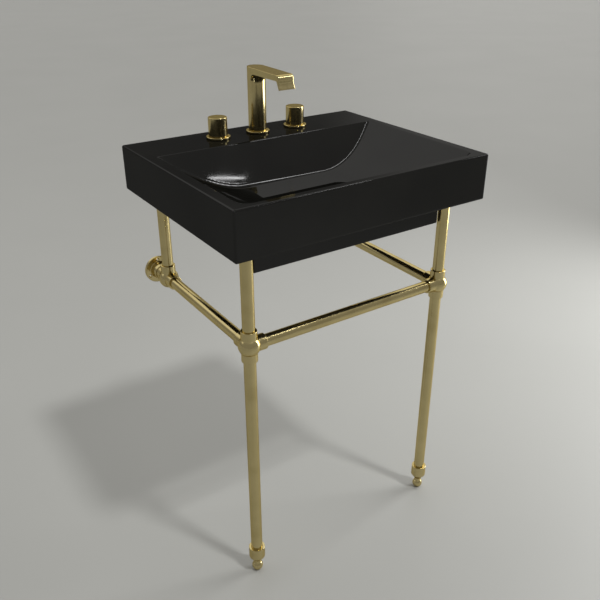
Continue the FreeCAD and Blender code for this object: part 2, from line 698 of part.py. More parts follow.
def make_handle(word, side):
    x = f"{side} * handle_spacing / 2"
    axis = (x, "-faucet_from_wall")
    at = (*axis, rim)
    ring_top = "gasket_thick + ring_thick"
    finish(f"{word}_base_ring", base_ring(f"{word}_ring", "valve_dia / 2 + fit_gap", x))
    stem_fit = "stem_dia / 2 + fit_gap"
    knob_base = f"{ring_top} + knob_gap"
    knob = (
        (stem_fit, knob_base),
        ("knob_dia / 2", knob_base),
        ("knob_dia / 2", "knob_top - knob_bevel"),
        ("knob_dia / 2 - knob_bevel", "knob_top"),
        ("0", "knob_top"),
        ("0", "stem_top"),
        (stem_fit, "stem_top"),
    )
    screw_at = (*axis, f"{rim} + knob_screw_height")
    screw_hole = rod(f"{word}_knob_hole", "knob_screw_dia + 2 * fit_gap", "knob_dia", screw_at, "y")
    finish(f"{word}_knob", minus(f"{word}_knob_cut", turned(f"{word}_knob_turned", knob, at), screw_hole))
    screw_length = "knob_dia / 2 - stem_dia / 2 - seat_gap - knob_screw_sunk"
    screw_start = beyond(screw_at, "y", "stem_dia / 2 + seat_gap")
    shaft = rod(f"{word}_screw_shaft", "knob_screw_dia", screw_length, screw_start, "y")
    mouth = beyond(screw_start, "y", f"{screw_length} - grub_socket_depth")
    socket = hexagon(f"{word}_screw_hex", "knob_screw_dia / 2", "grub_socket_depth + over_cut", mouth, "y")
    finish(f"{word}_knob_screw", minus(f"{word}_screw_cut", shaft, socket))
    stem_at = (*axis, f"{rim} - stem_foot")
    finish(f"{word}_stem", rod(f"{word}_stem_rod", "stem_dia", "stem_foot + stem_top", stem_at))
    body = (
        ("cavity_dia / 2", "valve_top"),
        ("valve_dia / 2", "valve_top"),
        ("valve_dia / 2", "-valve_drop"),
        ("inlet_dia / 2", "-valve_drop"),
        ("inlet_dia / 2", "-inlet_drop"),
        ("inlet_bore / 2", "-inlet_drop"),
        ("inlet_bore / 2", "-cavity_drop"),
        ("cavity_dia / 2", "-cavity_drop"),
    )
    barrel = turned(f"{word}_barrel", body, at)
    inward = "x" if side == left else "-x"
    outlet = (*axis, f"{rim} - outlet_drop")
    boss = rod(f"{word}_boss", "outlet_boss", "outlet_reach", outlet, inward)
    core = rod(f"{word}_core", "cavity_dia", "cavity_drop + valve_top", (*axis, f"{rim} - cavity_drop"))
    socket_at = beyond(outlet, inward, "outlet_reach - cross_grip")
    cuts = (
        core,
        rod(f"{word}_port", "outlet_bore", "outlet_reach", outlet, inward),
        rod(f"{word}_socket", "cross_dia + 2 * fit_gap", "cross_grip + over_cut", socket_at, inward),
    )
    finish(f"{word}_valve_body", minus(f"{word}_body_cut", joined(f"{word}_body", barrel, boss), *cuts))
    slide = "cavity_dia / 2 - fit_gap"
    cartridge_top = "valve_top - bonnet_thick"
    cartridge = (
        ("outlet_bore / 2", "-cavity_drop"),
        (slide, "-cavity_drop"),
        (slide, cartridge_top),
        (stem_fit, cartridge_top),
        (stem_fit, "-stem_foot - seat_gap"),
        ("outlet_bore / 2", "-stem_foot - seat_gap"),
    )
    cartridge = turned(f"{word}_cartridge_turned", cartridge, at)
    port = rod(f"{word}_cartridge_port", "outlet_bore", "cavity_dia", outlet, inward)
    finish(f"{word}_cartridge", minus(f"{word}_cartridge_cut", cartridge, port))
    bonnet_at = (*axis, f"{rim} + {cartridge_top}")
    bonnet_wall = "(cavity_dia - 2 * fit_gap - bonnet_hole) / 2"
    bonnet = tube(f"{word}_bonnet", "cavity_dia - 2 * fit_gap", bonnet_wall, "bonnet_thick", bonnet_at)
    finish(f"{word}_bonnet_nut", bonnet)
    away, hand = ("x", "right") if side == right else ("-x", "left")
    cross_at = beyond(("0", "-faucet_from_wall", outlet[2]), away, "tee_width / 2 - cross_grip")
    cross_length = "handle_spacing / 2 - outlet_reach - tee_width / 2 + 2 * cross_grip - seat_gap"
    cross = tube(f"{word}_cross", "cross_dia", "cross_wall", cross_length, cross_at, away)
    finish(f"crossover_tube_{hand}", cross)


def make_deck_fixings():
    gaskets = []
    washers = []
    nuts = []
    couplings = []
    for n, (shift, passing) in enumerate(((left, "valve_dia"), (0, "shank_dia"), (right, "valve_dia"))):
        axis = (f"{shift} * handle_spacing / 2", "-faucet_from_wall")
        hole = f"{passing} + 2 * fit_gap"
        wall = f"(gasket_dia - ({hole})) / 2"
        gaskets.append(tube(f"gasket_{n}", "gasket_dia", wall, "gasket_thick", (*axis, rim)))
        washer_at = (*axis, f"{rim} - deck_thickness - washer_thick")
        wall = f"(washer_dia - ({hole})) / 2"
        washers.append(tube(f"washer_{n}", "washer_dia", wall, "washer_thick", washer_at))
        nut_at = (*axis, f"{rim} - deck_thickness - washer_thick - deck_nut_thick")
        nut = hexagon(f"deck_nut_{n}_hex", "deck_nut_across", "deck_nut_thick", nut_at)
        thread = rod(f"deck_nut_{n}_hole", hole, "deck_nut_thick", nut_at)
        nuts.append(minus(f"deck_nut_{n}", nut, thread))
    for word, along in (("left", "-x"), ("right", "x")):
        centre = ("0", "-faucet_from_wall", f"{rim} - outlet_drop")
        places = ("tee_width / 2", "handle_spacing / 2 - outlet_reach - coupling_thick")
        for n, distance in enumerate(places):
            at = beyond(centre, along, distance)
            nut = hexagon(f"coupling_{word}_{n}_hex", "coupling_across", "coupling_thick", at, along)
            hole = rod(f"coupling_{word}_{n}_hole", "cross_dia + 2 * fit_gap", "coupling_thick", at, along)
            couplings.append(minus(f"coupling_{word}_{n}", nut, hole))
    finish_group("deck_gaskets", gaskets)
    finish_group("deck_washers", washers)
    finish_group("deck_nuts", nuts)
    finish_group("coupling_nuts", couplings)


# Drain

def make_drain():
    at = ("0", "-drain_from_wall", rim)
    seat = "-bowl_depth - drain_seat_depth"
    face = f"{seat} + drain_flange_thick"
    neck_fit = "tail_neck_dia / 2 + fit_gap"
    neck_top = "-drain_tube_drop + tail_neck"
    body = (
        ("drain_bore / 2", face),
        ("drain_flange_dia / 2", face),
        ("drain_flange_dia / 2", seat),
        ("drain_tube_dia / 2", seat),
        ("drain_tube_dia / 2", "-drain_tube_drop"),
        (neck_fit, "-drain_tube_drop"),
        (neck_fit, neck_top),
        ("tail_bore / 2", neck_top),
        ("tail_bore / 2", "-drain_bridge_drop - drain_bridge_height"),
        ("drain_bore / 2", "-drain_bridge_drop - drain_bridge_height"),
    )
    shell = turned("drain_shell", body, at)
    bridge_size = ("drain_bore + over_cut", "drain_bridge_width", "drain_bridge_height")
    bridge_at = (
        "-(drain_bore + over_cut) / 2",
        "-drain_from_wall - drain_bridge_width / 2",
        f"{rim} - drain_bridge_drop - drain_bridge_height",
    )
    bridge = block("drain_bridge", bridge_size, bridge_at)
    guide_at = (at[0], at[1], f"{rim} - drain_bridge_drop - drain_bridge_height - over_cut")
    guide = rod("drain_guide", "plug_stem_dia + 2 * fit_gap", "drain_bridge_height + 2 * over_cut", guide_at)
    finish("drain_body", minus("drain_body_cut", joined("drain_body_solid", shell, bridge), guide))
    plug_base = f"{face} + plug_gap"
    plug = (
        ("0", f"{plug_base} - plug_stem_length"),
        ("plug_stem_dia / 2", f"{plug_base} - plug_stem_length"),
        ("plug_stem_dia / 2", plug_base),
        ("plug_dia / 2", plug_base),
        ("plug_dia / 2", f"{plug_base} + plug_thick - plug_bevel"),
        ("plug_dia / 2 - plug_bevel", f"{plug_base} + plug_thick"),
        ("0", f"{plug_base} + plug_thick"),
    )
    finish("drain_plug", turned("drain_plug_turned", plug, at))
    hole = "drain_tube_dia + 2 * fit_gap"
    under = f"{rim} - bowl_depth - bowl_wall"
    gasket_at = (at[0], at[1], f"{under} - drain_gasket_thick")
    gasket_wall = f"(drain_gasket_dia - ({hole})) / 2"
    gasket = tube("drain_gasket_ring", "drain_gasket_dia", gasket_wall, "drain_gasket_thick", gasket_at)
    finish("drain_gasket", gasket)
    nut_at = (at[0], at[1], f"{under} - drain_gasket_thick - locknut_thick")
    nut = hexagon("locknut_hex", "locknut_across", "locknut_thick", nut_at)
    finish("drain_locknut", minus("locknut_cut", nut, rod("locknut_hole", hole, "locknut_thick", nut_at)))
    tail = (
        ("tail_bore / 2", "-tail_drop"),
        ("tail_dia / 2", "-tail_drop"),
        ("tail_dia / 2", "-drain_tube_drop"),
        ("tail_neck_dia / 2", "-drain_tube_drop"),
        ("tail_neck_dia / 2", f"{neck_top} - seat_gap"),
        ("tail_bore / 2", f"{neck_top} - seat_gap"),
    )
    finish("tailpiece", turned("tail_turned", tail, at))


def write_parts():
    doc.recompute()
    for item in doc.Objects:
        if "Invalid" in item.State or "Error" in item.State:
            raise RuntimeError(f"{item.Name} failed: {item.State}")
    for label, item in pieces.items():
        shape = item.Shape
        if shape.isNull() or not shape.isValid() or not shape.Solids:
            raise RuntimeError(f"{label} has no valid solid")
        if item.Label != label:
            raise RuntimeError(f"{label} is labelled {item.Label}")
    os.makedirs("parts", exist_ok=True)
    for label, item in pieces.items():
        item.Shape.exportStep(f"parts/{label}.step")
        print(f"{label}: {len(item.Shape.Solids)} solid, {item.Shape.Volume / 1000:.2f} cm3")


make_basin()
make_stand()
make_spout()
make_handle("hot", left)
make_handle("cold", right)
make_deck_fixings()
make_drain()
write_parts()
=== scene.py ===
import itertools
import math

import bmesh
import bpy
from mathutils import Matrix, Vector


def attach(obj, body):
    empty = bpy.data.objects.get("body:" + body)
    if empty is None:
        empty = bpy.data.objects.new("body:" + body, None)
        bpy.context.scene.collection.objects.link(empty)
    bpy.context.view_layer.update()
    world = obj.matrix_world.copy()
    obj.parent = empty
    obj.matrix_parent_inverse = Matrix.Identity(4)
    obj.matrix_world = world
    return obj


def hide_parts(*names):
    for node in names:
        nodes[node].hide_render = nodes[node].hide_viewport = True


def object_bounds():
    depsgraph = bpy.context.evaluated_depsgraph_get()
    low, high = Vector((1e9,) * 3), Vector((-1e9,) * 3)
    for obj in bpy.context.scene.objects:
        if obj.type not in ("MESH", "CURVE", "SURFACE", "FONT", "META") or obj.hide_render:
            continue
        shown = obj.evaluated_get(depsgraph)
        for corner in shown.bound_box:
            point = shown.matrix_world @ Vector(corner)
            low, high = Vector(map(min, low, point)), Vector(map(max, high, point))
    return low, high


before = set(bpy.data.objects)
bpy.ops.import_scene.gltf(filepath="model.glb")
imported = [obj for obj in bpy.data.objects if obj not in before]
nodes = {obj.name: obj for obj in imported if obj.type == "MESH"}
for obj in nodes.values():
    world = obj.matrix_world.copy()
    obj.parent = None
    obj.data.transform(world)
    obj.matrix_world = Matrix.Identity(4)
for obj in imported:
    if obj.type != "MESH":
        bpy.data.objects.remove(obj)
cadLow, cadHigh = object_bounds()
scene = bpy.context.scene
scene.view_settings.view_transform = "Standard"
mm = 0.001  # all sizes below are in millimetres
rim = 60.0  # height of the basin's rim in the frame
slip = 0.1  # clearance of a fit, on the diameter
past = 2.0  # how far a cut runs past the surface
leftRight = (("left", -1), ("right", 1))
hotCold = (("hot", -1), ("cold", 1))
print("frame loaded:", len(nodes), "nodes")


def feed(tree, node, given):
    for name, value in given.items():
        if isinstance(value, bpy.types.NodeSocket):
            tree.links.new(value, node.inputs[name])
        else:
            node.inputs[name].default_value = value


def addNode(tree, kind, given, **settings):
    node = tree.nodes.new(kind)
    for name, value in settings.items():
        setattr(node, name, value)
    feed(tree, node, given)
    return node


def newFinish(name, metallic, roughness, ior=1.5):
    finish = bpy.data.materials.new(name)
    finish.use_nodes = True
    tree = finish.node_tree
    shader = tree.nodes["Principled BSDF"]
    feed(tree, shader, {"Metallic": metallic, "Roughness": roughness, "IOR": ior})
    return finish, tree, shader


def addNoise(tree, scale, detail=2.0, stretch=(1, 1, 1)):
    coords = addNode(tree, "ShaderNodeTexCoord", {})
    mapping = addNode(tree, "ShaderNodeMapping", {"Vector": coords.outputs["Object"], "Scale": stretch})
    given = {"Vector": mapping.outputs["Vector"], "Scale": scale, "Detail": detail}
    return addNode(tree, "ShaderNodeTexNoise", given).outputs["Fac"]


def addRamp(tree, factor, stops):
    ramp = addNode(tree, "ShaderNodeValToRGB", {"Fac": factor})
    bar = ramp.color_ramp
    while len(bar.elements) < len(stops):
        bar.elements.new(0.5)
    for mark, (place, colour) in zip(bar.elements, stops):
        mark.position = place
        mark.color = (*colour, 1)
    return ramp.outputs["Color"]


def addRange(tree, value, low, high, fromLow=0.3, fromHigh=0.7, **settings):
    given = {"Value": value, "From Min": fromLow, "From Max": fromHigh, "To Min": low, "To Max": high}
    return addNode(tree, "ShaderNodeMapRange", given, **settings).outputs["Result"]


def addBump(tree, shader, height, strength, depth):
    bump = addNode(tree, "ShaderNodeBump", {"Height": height, "Strength": strength, "Distance": depth * mm})
    feed(tree, shader, {"Normal": bump.outputs["Normal"]})


glazeLook = dict(
    deep=(0.0036, 0.0035, 0.0030), thin=(0.0062, 0.0060, 0.0050), gloss=0.035, ior=1.46,
    pool=7.0, haze=26.0, hazeSpread=(0.8, 1.5), ripple=55.0, rippleStrength=0.01, rippleDepth=0.2,
    sheen=(  # gloss level by slant
        (0.0, 0.47), (0.2, 0.42), (0.4, 0.23), (0.5, 0.116), (0.6, 0.042), (0.7, 0.011), (0.82, 0.003),
    ),
)
brassLook = dict(
    pale=(0.61, 0.51, 0.26), rich=(0.56, 0.465, 0.23), tarnish=(0.50, 0.405, 0.19), slant=(0.78, 0.68, 0.44),
    cloud=16.0, glossSpread=(0.75, 1.3), lineStrength=0.03, lineDepth=0.006,
    faucet=(0.17, 240.0, (1, 1, 0.1)), stand=(0.15, 240.0, (1, 1, 1)), cast=(0.34, 420.0, (1, 1, 1)),
)
plainLook = dict(  # one grain drives tone, gloss and bump
    brushedSteel=dict(
        metallic=1.0, roughness=0.3, grain=(160.0, 4.0, (1, 1, 9)),
        low=(0.44, 0.45, 0.46), high=(0.62, 0.63, 0.64), gloss=(0.22, 0.4), bump=(0.12, 0.05),
    ),
    blackRubber=dict(
        metallic=0.0, roughness=0.75, grain=(420.0, 3.0),
        low=(0.012, 0.012, 0.012), high=(0.026, 0.026, 0.025), gloss=(0.65, 0.85), bump=(0.3, 0.2),
    ),
    ivoryPlastic=dict(
        metallic=0.0, roughness=0.45, grain=(650.0, 2.0),
        low=(0.52, 0.50, 0.44), high=(0.62, 0.60, 0.54), gloss=(0.38, 0.55), bump=(0.15, 0.08),
    ),
    greyPlastic=dict(
        metallic=0.0, roughness=0.45, grain=(650.0, 2.0),
        low=(0.19, 0.19, 0.185), high=(0.27, 0.27, 0.26), gloss=(0.38, 0.55), bump=(0.15, 0.08),
    ),
)


def makeGlaze():
    look = glazeLook
    finish, tree, shader = newFinish("blackGlaze", 0.0, look["gloss"], look["ior"])
    low, high = (look["gloss"] * share for share in look["hazeSpread"])
    slant = addNode(tree, "ShaderNodeLayerWeight", {})
    stops = [(place, (level, level, level)) for place, level in look["sheen"]]
    pool = addNoise(tree, look["pool"], 3.0)
    feed(tree, shader, {
        "Base Color": addRamp(tree, pool, ((0.35, look["deep"]), (0.7, look["thin"]))),
        "Roughness": addRange(tree, addNoise(tree, look["haze"], 4.0), low, high),
        "Specular IOR Level": addRamp(tree, slant.outputs["Facing"], stops),
    })
    addBump(tree, shader, addNoise(tree, look["ripple"], 1.0), look["rippleStrength"], look["rippleDepth"])
    return finish


def makeBrass(word):
    look = brassLook
    gloss, grain, stretch = look[word]
    finish, tree, shader = newFinish(word + "Brass", 1.0, gloss)
    low, high = (gloss * share for share in look["glossSpread"])
    stops = ((0.28, look["tarnish"]), (0.46, look["rich"]), (0.72, look["pale"]))
    lines = addNoise(tree, grain, 3.0, stretch)  # polishing lines
    feed(tree, shader, {
        "Base Color": addRamp(tree, addNoise(tree, look["cloud"], 4.0), stops),
        "Roughness": addRange(tree, lines, low, high), "Specular Tint": (*look["slant"], 1),
    })
    addBump(tree, shader, lines, look["lineStrength"], look["lineDepth"])
    return finish


def makePlain(name):
    look = plainLook[name]
    finish, tree, shader = newFinish(name, look["metallic"], look["roughness"])
    grain = addNoise(tree, *look["grain"])
    tone = addRamp(tree, grain, ((0.3, look["low"]), (0.7, look["high"])))
    feed(tree, shader, {"Base Color": tone, "Roughness": addRange(tree, grain, *look["gloss"])})
    addBump(tree, shader, grain, *look["bump"])
    return finish


blackGlaze = makeGlaze()
faucetBrass, standBrass, castBrass = [makeBrass(word) for word in ("faucet", "stand", "cast")]
brushedSteel, blackRubber, ivoryPlastic, greyPlastic = [makePlain(name) for name in plainLook]


def closeMesh(bm, name):
    bmesh.ops.remove_doubles(bm, verts=bm.verts, dist=1e-6)
    bmesh.ops.recalc_face_normals(bm, faces=bm.faces)
    mesh = bpy.data.meshes.new(name)
    bm.to_mesh(mesh)
    bm.free()
    return mesh


def looseObject(name, mesh):
    thing = bpy.data.objects.new(name, mesh)
    scene.collection.objects.link(thing)
    return thing


def plainMesh(thing):
    return bpy.data.meshes.new_from_object(thing.evaluated_get(bpy.context.evaluated_depsgraph_get()))


def combine(thing, tool, operation):
    step = thing.modifiers.new("combine", "BOOLEAN")
    step.operation = operation
    step.solver = "EXACT"
    step.object = tool
    mesh = plainMesh(thing)
    thing.modifiers.remove(step)
    thing.data = mesh
    bpy.data.objects.remove(tool)


def finishPiece(thing, finish, body, replaced, sharpAngle=32):
    mesh = thing.data
    mesh.materials.clear()
    mesh.materials.append(finish)
    mesh.shade_smooth()
    mesh.set_sharp_from_angle(angle=math.radians(sharpAngle))
    even = thing.modifiers.new("even", "WEIGHTED_NORMAL")  # keeps flats flat beside soft edges
    even.keep_sharp = True
    thing.data = plainMesh(thing)
    thing.modifiers.remove(even)
    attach(thing, body)
    if replaced:
        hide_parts(*replaced)
    return thing


def axisPlace(at, along=(0, 0, 1)):
    turn = Vector((0, 0, 1)).rotation_difference(Vector(along)).to_matrix().to_4x4()
    return Matrix.Translation(Vector(at) * mm) @ turn


def quarter(steps):
    return [math.radians(90 * k / steps) for k in range(steps + 1)]


def fullTurn(sides):
    return [2 * math.pi * k / sides for k in range(sides)]


def bridge(bm, one, two):
    for k in range(len(one)):
        n = (k + 1) % len(one)
        bm.faces.new((one[k], one[n], two[n], two[k]))


def softOutline(corners, steps=5):
    outline = []  # corners are (radius, height, rounding)
    for n, (r, h, soft) in enumerate(corners):
        here = Vector((r, h))
        if soft == 0:
            outline.append((r, h))
            continue
        toLast = (Vector(corners[n - 1][:2]) - here).normalized()
        toNext = (Vector(corners[(n + 1) % len(corners)][:2]) - here).normalized()
        half = toLast.angle(toNext) / 2
        middle = here + (toLast + toNext).normalized() * soft / math.sin(half)
        first = here + toLast * soft / math.tan(half) - middle
        last = here + toNext * soft / math.tan(half) - middle
        sweep = math.atan2(first.x * last.y - first.y * last.x, first.dot(last))
        for k in range(steps + 1):
            spot = middle + Matrix.Rotation(sweep * k / steps, 2) @ first
            outline.append((spot.x, spot.y))
    return outline


def lathe(bm, outline, place, sides=96):
    rings = []
    for r, h in outline:
        if r < 1e-6:
            rings.append([bm.verts.new(place @ Vector((0, 0, h * mm)))])
            continue
        spots = [Vector((r * math.cos(t), r * math.sin(t), h)) * mm for t in fullTurn(sides)]
        rings.append([bm.verts.new(place @ spot) for spot in spots])
    for one, two in zip(rings, rings[1:] + rings[:1]):
        for k in range(sides):
            ring = (one[k % len(one)], one[(k + 1) % sides % len(one)],
                    two[(k + 1) % sides % len(two)], two[k % len(two)])
            corners = list(dict.fromkeys(ring))
            if len(corners) > 2:
                bm.faces.new(corners)


def turnedObject(name, corners, at, along=(0, 0, 1), sides=96, steps=5):
    bm = bmesh.new()
    lathe(bm, softOutline(corners, steps), axisPlace(at, along), sides)
    return looseObject(name, closeMesh(bm, name))


def hullObject(name, spots):
    bm = bmesh.new()
    bmesh.ops.convex_hull(bm, input=[bm.verts.new(Vector(s) * mm) for s in spots])
    return looseObject(name, closeMesh(bm, name))


def boxObject(name, low, high):
    return hullObject(name, itertools.product(*zip(low, high)))


def pinObject(name, dia, length, at, along, sides=64):
    corners = ((0, 0, 0), (dia / 2, 0, 0), (dia / 2, length, 0), (0, length, 0))
    return turnedObject(name, corners, at, along, sides)


def joinedObject(name, things):
    bm = bmesh.new()
    for thing in things:
        bm.from_mesh(thing.data)
        bpy.data.objects.remove(thing)
    mesh = bpy.data.meshes.new(name)
    bm.to_mesh(mesh)
    bm.free()
    return looseObject(name, mesh)


basinLook = dict(
    width=603.0, depth=489.0, skirtHeight=98.0, height=157.0, edgeRound=4.0, edgeSteps=6,
    deckDepth=127.0, deckThick=22.0, sideRim=24.5, frontRim=16.0,
    bowlDepth=98.0, sideRun=130.0, backRun=76.6, frontRun=22.6, dishRadius=560.0,
    sideRound=215.0, creaseBlend=4.0, creaseWiden=5.0, frontBlend=16.0, lipBlend=1.6, lipCorner=28.0,
    bowlWall=16.0, skirtWall=16.0,
    baseWidth=464.0, baseDepth=428.0, baseCorner=4.0, baseWall=18.0, postSeat=54.0,
    boltSpacing=280.0, boltHole=14.0, deckHole=34.0, tapSpacing=203.2, tapFromWall=66.0,
    drainFromWall=335.0, drainSeat=66.0, drainSeatDepth=3.0, drainHole=45.0,
    gridStep=2.5, lipGrid=(0, 0.4, 0.8, 1.2, 1.7, 2.3, 3.0, 4.0), lipKeep=4.5, edgeGrid=(0.7, 1.6),
    edgeBand=0.8, cornerSteps=8, baseSteps=5, baseLap=8.0,
)


def softMax(a, b, blend):
    near = max(blend - abs(a - b), 0.0)
    return max(a, b) + near * near / (4 * blend)


def cornerRise(fromSide, fromEnd, sideRun, endRun):
    soft = basinLook["lipCorner"]  # the lip turns its corners on this radius
    if fromSide >= soft or fromEnd >= soft:
        return -1000.0
    across, along = soft - fromSide, soft - fromEnd
    reach = math.hypot(across, along)
    run = (across ** 2 * sideRun + along ** 2 * endRun) / reach ** 2
    return basinLook["bowlDepth"] * (1 - (soft - reach) / run)


def bowlHeight(x, y):
    look = basinLook
    slope = math.atan2(look["bowlDepth"], look["sideRun"])
    dish = look["dishRadius"] - math.sqrt(look["dishRadius"] ** 2 - (y + look["drainFromWall"]) ** 2)
    foot = look["width"] / 2 - look["sideRim"] - look["sideRun"] + dish / math.tan(slope)
    out = abs(x) - foot + look["sideRound"] * math.tan(slope / 2)
    if out < look["sideRound"] * math.sin(slope):
        floor = dish + look["sideRound"] - math.sqrt(look["sideRound"] ** 2 - max(out, 0.0) ** 2)
    else:
        floor = dish + (abs(x) - foot) * math.tan(slope)
    back = (y + look["deckDepth"] + look["backRun"]) * look["bowlDepth"] / look["backRun"]
    up = min(max(floor, back) / look["bowlDepth"], 1.0)
    rise = softMax(floor, back, look["creaseBlend"] + look["creaseWiden"] * up ** 2)  # wider toward the rim
    frontFoot = look["depth"] - look["frontRim"] - look["frontRun"]
    front = (-y - frontFoot) * look["bowlDepth"] / look["frontRun"]
    rise = softMax(rise, front, look["frontBlend"])
    fromSide = look["width"] / 2 - look["sideRim"] - abs(x)
    fromFront = y + look["depth"] - look["frontRim"]
    rise = softMax(rise, cornerRise(fromSide, fromFront, look["sideRun"], look["frontRun"]), look["creaseBlend"])
    return -softMax(0.0, look["bowlDepth"] - rise, look["lipBlend"])


def gridLines(low, high, lips):
    look = basinLook
    count = round((high - low) / look["gridStep"])
    lines = [low + (high - low) * k / count for k in range(count + 1)]
    lines = [v for v in lines if all(abs(v - lip) > look["lipKeep"] for lip in lips)]
    lines += [lip + sign * s for lip in lips for s in look["lipGrid"] for sign in (-1, 1)]  # finer at the lips
    lines += [v for s in look["edgeGrid"] for v in (low + s, high - s)]
    return sorted(set(round(v, 4) for v in lines))


def makeBasinBlock():
    look = basinLook
    soft = look["edgeRound"]
    lip = look["width"] / 2 - look["sideRim"]
    xs = gridLines(soft - look["width"] / 2, look["width"] / 2 - soft, (-lip, lip))
    frontLip = look["frontRim"] - look["depth"]
    ys = gridLines(soft - look["depth"], -soft, (frontLip, -look["deckDepth"]))
    bm = bmesh.new()
    grid = [[bm.verts.new(Vector((x, y, rim + bowlHeight(x, y))) * mm) for y in ys] for x in xs]
    for one, two in zip(grid, grid[1:]):
        for k in range(len(ys) - 1):
            bm.faces.new((one[k], two[k], two[k + 1], one[k + 1]))
    sides = (
        [column[0] for column in grid], grid[-1],
        [column[-1] for column in reversed(grid)], list(reversed(grid[0])),
    )
    loop = []  # each edge vertex with the way it faces
    for n, side in enumerate(sides):
        loop += [(vert, 90 * n - 90) for vert in side]
        loop += [(side[-1], 90 * n - 90 + 90 * k / look["edgeSteps"]) for k in range(1, look["edgeSteps"])]
    low = rim - look["skirtHeight"]
    bends = quarter(look["edgeSteps"])
    rows = [(soft * math.sin(b), rim - soft + soft * math.cos(b)) for b in bends[1:]]
    rows += [(soft, rim - soft - look["edgeBand"]), (soft, low + soft + look["edgeBand"])]
    rows += [(soft * math.cos(b), low + soft - soft * math.sin(b)) for b in bends]
    last = [vert for vert, _ in loop]
    for out, level in rows:
        ring = []
        for vert, way in loop:
            way = math.radians(way)
            shift = Vector((math.cos(way), math.sin(way), 0)) * out * mm
            ring.append(bm.verts.new(Vector((vert.co.x, vert.co.y, level * mm)) + shift))
        for k in range(len(loop)):
            n = (k + 1) % len(loop)
            bm.faces.new(list(dict.fromkeys((last[k], ring[k], ring[n], last[n]))))
        last = ring
    bm.faces.new(last)
    return looseObject("basinShell", closeMesh(bm, "basinShell"))


def makeBasinBase():
    look = basinLook
    half, depth, corner, soft = look["baseWidth"] / 2, look["baseDepth"], look["baseCorner"], look["edgeRound"]
    low = rim - look["height"]
    turns = quarter(look["cornerSteps"])
    rows = [(soft - soft * math.sin(b), low + soft - soft * math.cos(b)) for b in quarter(look["baseSteps"])]
    rows += [(0, low + soft + look["edgeBand"]), (0, rim - look["skirtHeight"] + look["baseLap"])]
    bm = bmesh.new()
    rings = []
    for inset, level in rows:
        r = corner - inset
        plan = [(half - inset, 0)]
        plan += [(half - corner + r * math.cos(t), -depth + corner - r * math.sin(t)) for t in turns]
        plan += [(-half + corner - r * math.sin(t), -depth + corner - r * math.cos(t)) for t in turns]
        plan += [(inset - half, 0)]
        rings.append([bm.verts.new(Vector((x, y, level)) * mm) for x, y in plan])
    for one, two in zip(rings, rings[1:]):
        bridge(bm, one, two)
    bm.faces.new(rings[0])
    bm.faces.new(rings[-1])
    return looseObject("basinBase", closeMesh(bm, "basinBase"))


def makeBasinHollow():
    look = basinLook
    half, wall = look["baseWidth"] / 2, look["baseWall"]
    low = rim - look["height"] - 1
    top = rim - look["deckThick"]
    back, front = -look["skirtWall"], look["skirtWall"] - look["depth"]
    hollow = boxObject("hollow", (wall - half, wall - look["baseDepth"], low), (half - wall, back, top))
    grow = look["bowlWall"]
    bottom = rim - look["bowlDepth"] - grow
    rise = (grow + 1) / look["bowlDepth"]
    foot = look["width"] / 2 - look["sideRim"] - look["sideRun"] + grow
    head = look["width"] / 2 - look["sideRim"] + grow + look["sideRun"] * rise
    frontEdge = look["depth"] - look["frontRim"]
    spots = [(s * foot, -(look["deckDepth"] + look["backRun"] - grow), bottom) for s in (-1, 1)]
    spots += [(s * foot, -(frontEdge - look["frontRun"] + grow), bottom) for s in (-1, 1)]
    spots += [(s * head, -(look["deckDepth"] - grow - look["backRun"] * rise), rim + 1) for s in (-1, 1)]
    spots += [(s * head, -(frontEdge + grow + look["frontRun"] * rise), rim + 1) for s in (-1, 1)]
    combine(hollow, hullObject("bowlOutside", spots), "DIFFERENCE")
    things = [hollow]
    inner = look["width"] / 2 - look["skirtWall"]
    for s in (-1, 1):
        ends = sorted((s * half, s * inner))
        things.append(boxObject("pocket", (ends[0], front, low), (ends[1], back, rim - look["postSeat"])))
    return joinedObject("basinHollows", things)


def makeBasin():
    look = basinLook
    basin = makeBasinBlock()
    combine(basin, makeBasinBase(), "UNION")
    combine(basin, makeBasinHollow(), "DIFFERENCE")
    holes = []
    for shift in (-1, 0, 1):
        at = (shift * look["tapSpacing"] / 2, -look["tapFromWall"], rim - look["deckThick"] - past)
        holes.append(pinObject("tapHole", look["deckHole"], look["deckThick"] + 2 * past, at, (0, 0, 1)))
    for side in (-1, 1):
        at = (side * look["boltSpacing"] / 2, past, 0)
        holes.append(pinObject("boltHole", look["boltHole"], look["skirtWall"] + 2 * past, at, (0, -1, 0)))
    seat = rim - look["bowlDepth"] - look["drainSeatDepth"]
    holes.append(pinObject("drainSeat", look["drainSeat"], 20, (0, -look["drainFromWall"], seat), (0, 0, 1), 96))
    combine(basin, joinedObject("basinHoles", holes), "DIFFERENCE")
    at = (0, -look["drainFromWall"], seat - 40)
    combine(basin, pinObject("drainHole", look["drainHole"], 60, at, (0, 0, 1), 96), "DIFFERENCE")
    basin.name = "basinBody"
    finishPiece(basin, blackGlaze, "sink", ["basin"])
    print("basin made:", len(basin.data.polygons), "faces")


makeBasin()

standLook = dict(
    tubeDia=25.4, tubeWall=1.5, tubeEndRound=0.4, legX=247.4, frontY=-429.0, rearY=-63.0, railZ=-245.0,
    floorZ=-846.0, socketStop=14.0, cupSeat=47.0, postTop=3.0, flangeFloor=4.0,
    ball=45.0, collar=33.0, reach=34.0, collarRound=1.2, ballSteps=48,
    grub=5.0, grubPlace=27.0, grubLength=3.4, grubSocket=2.5, grubSocketDepth=1.6, grubSunk=0.2, grubInner=10.0,
)
grubSpots = []  # outer end of each set screw and the way it faces


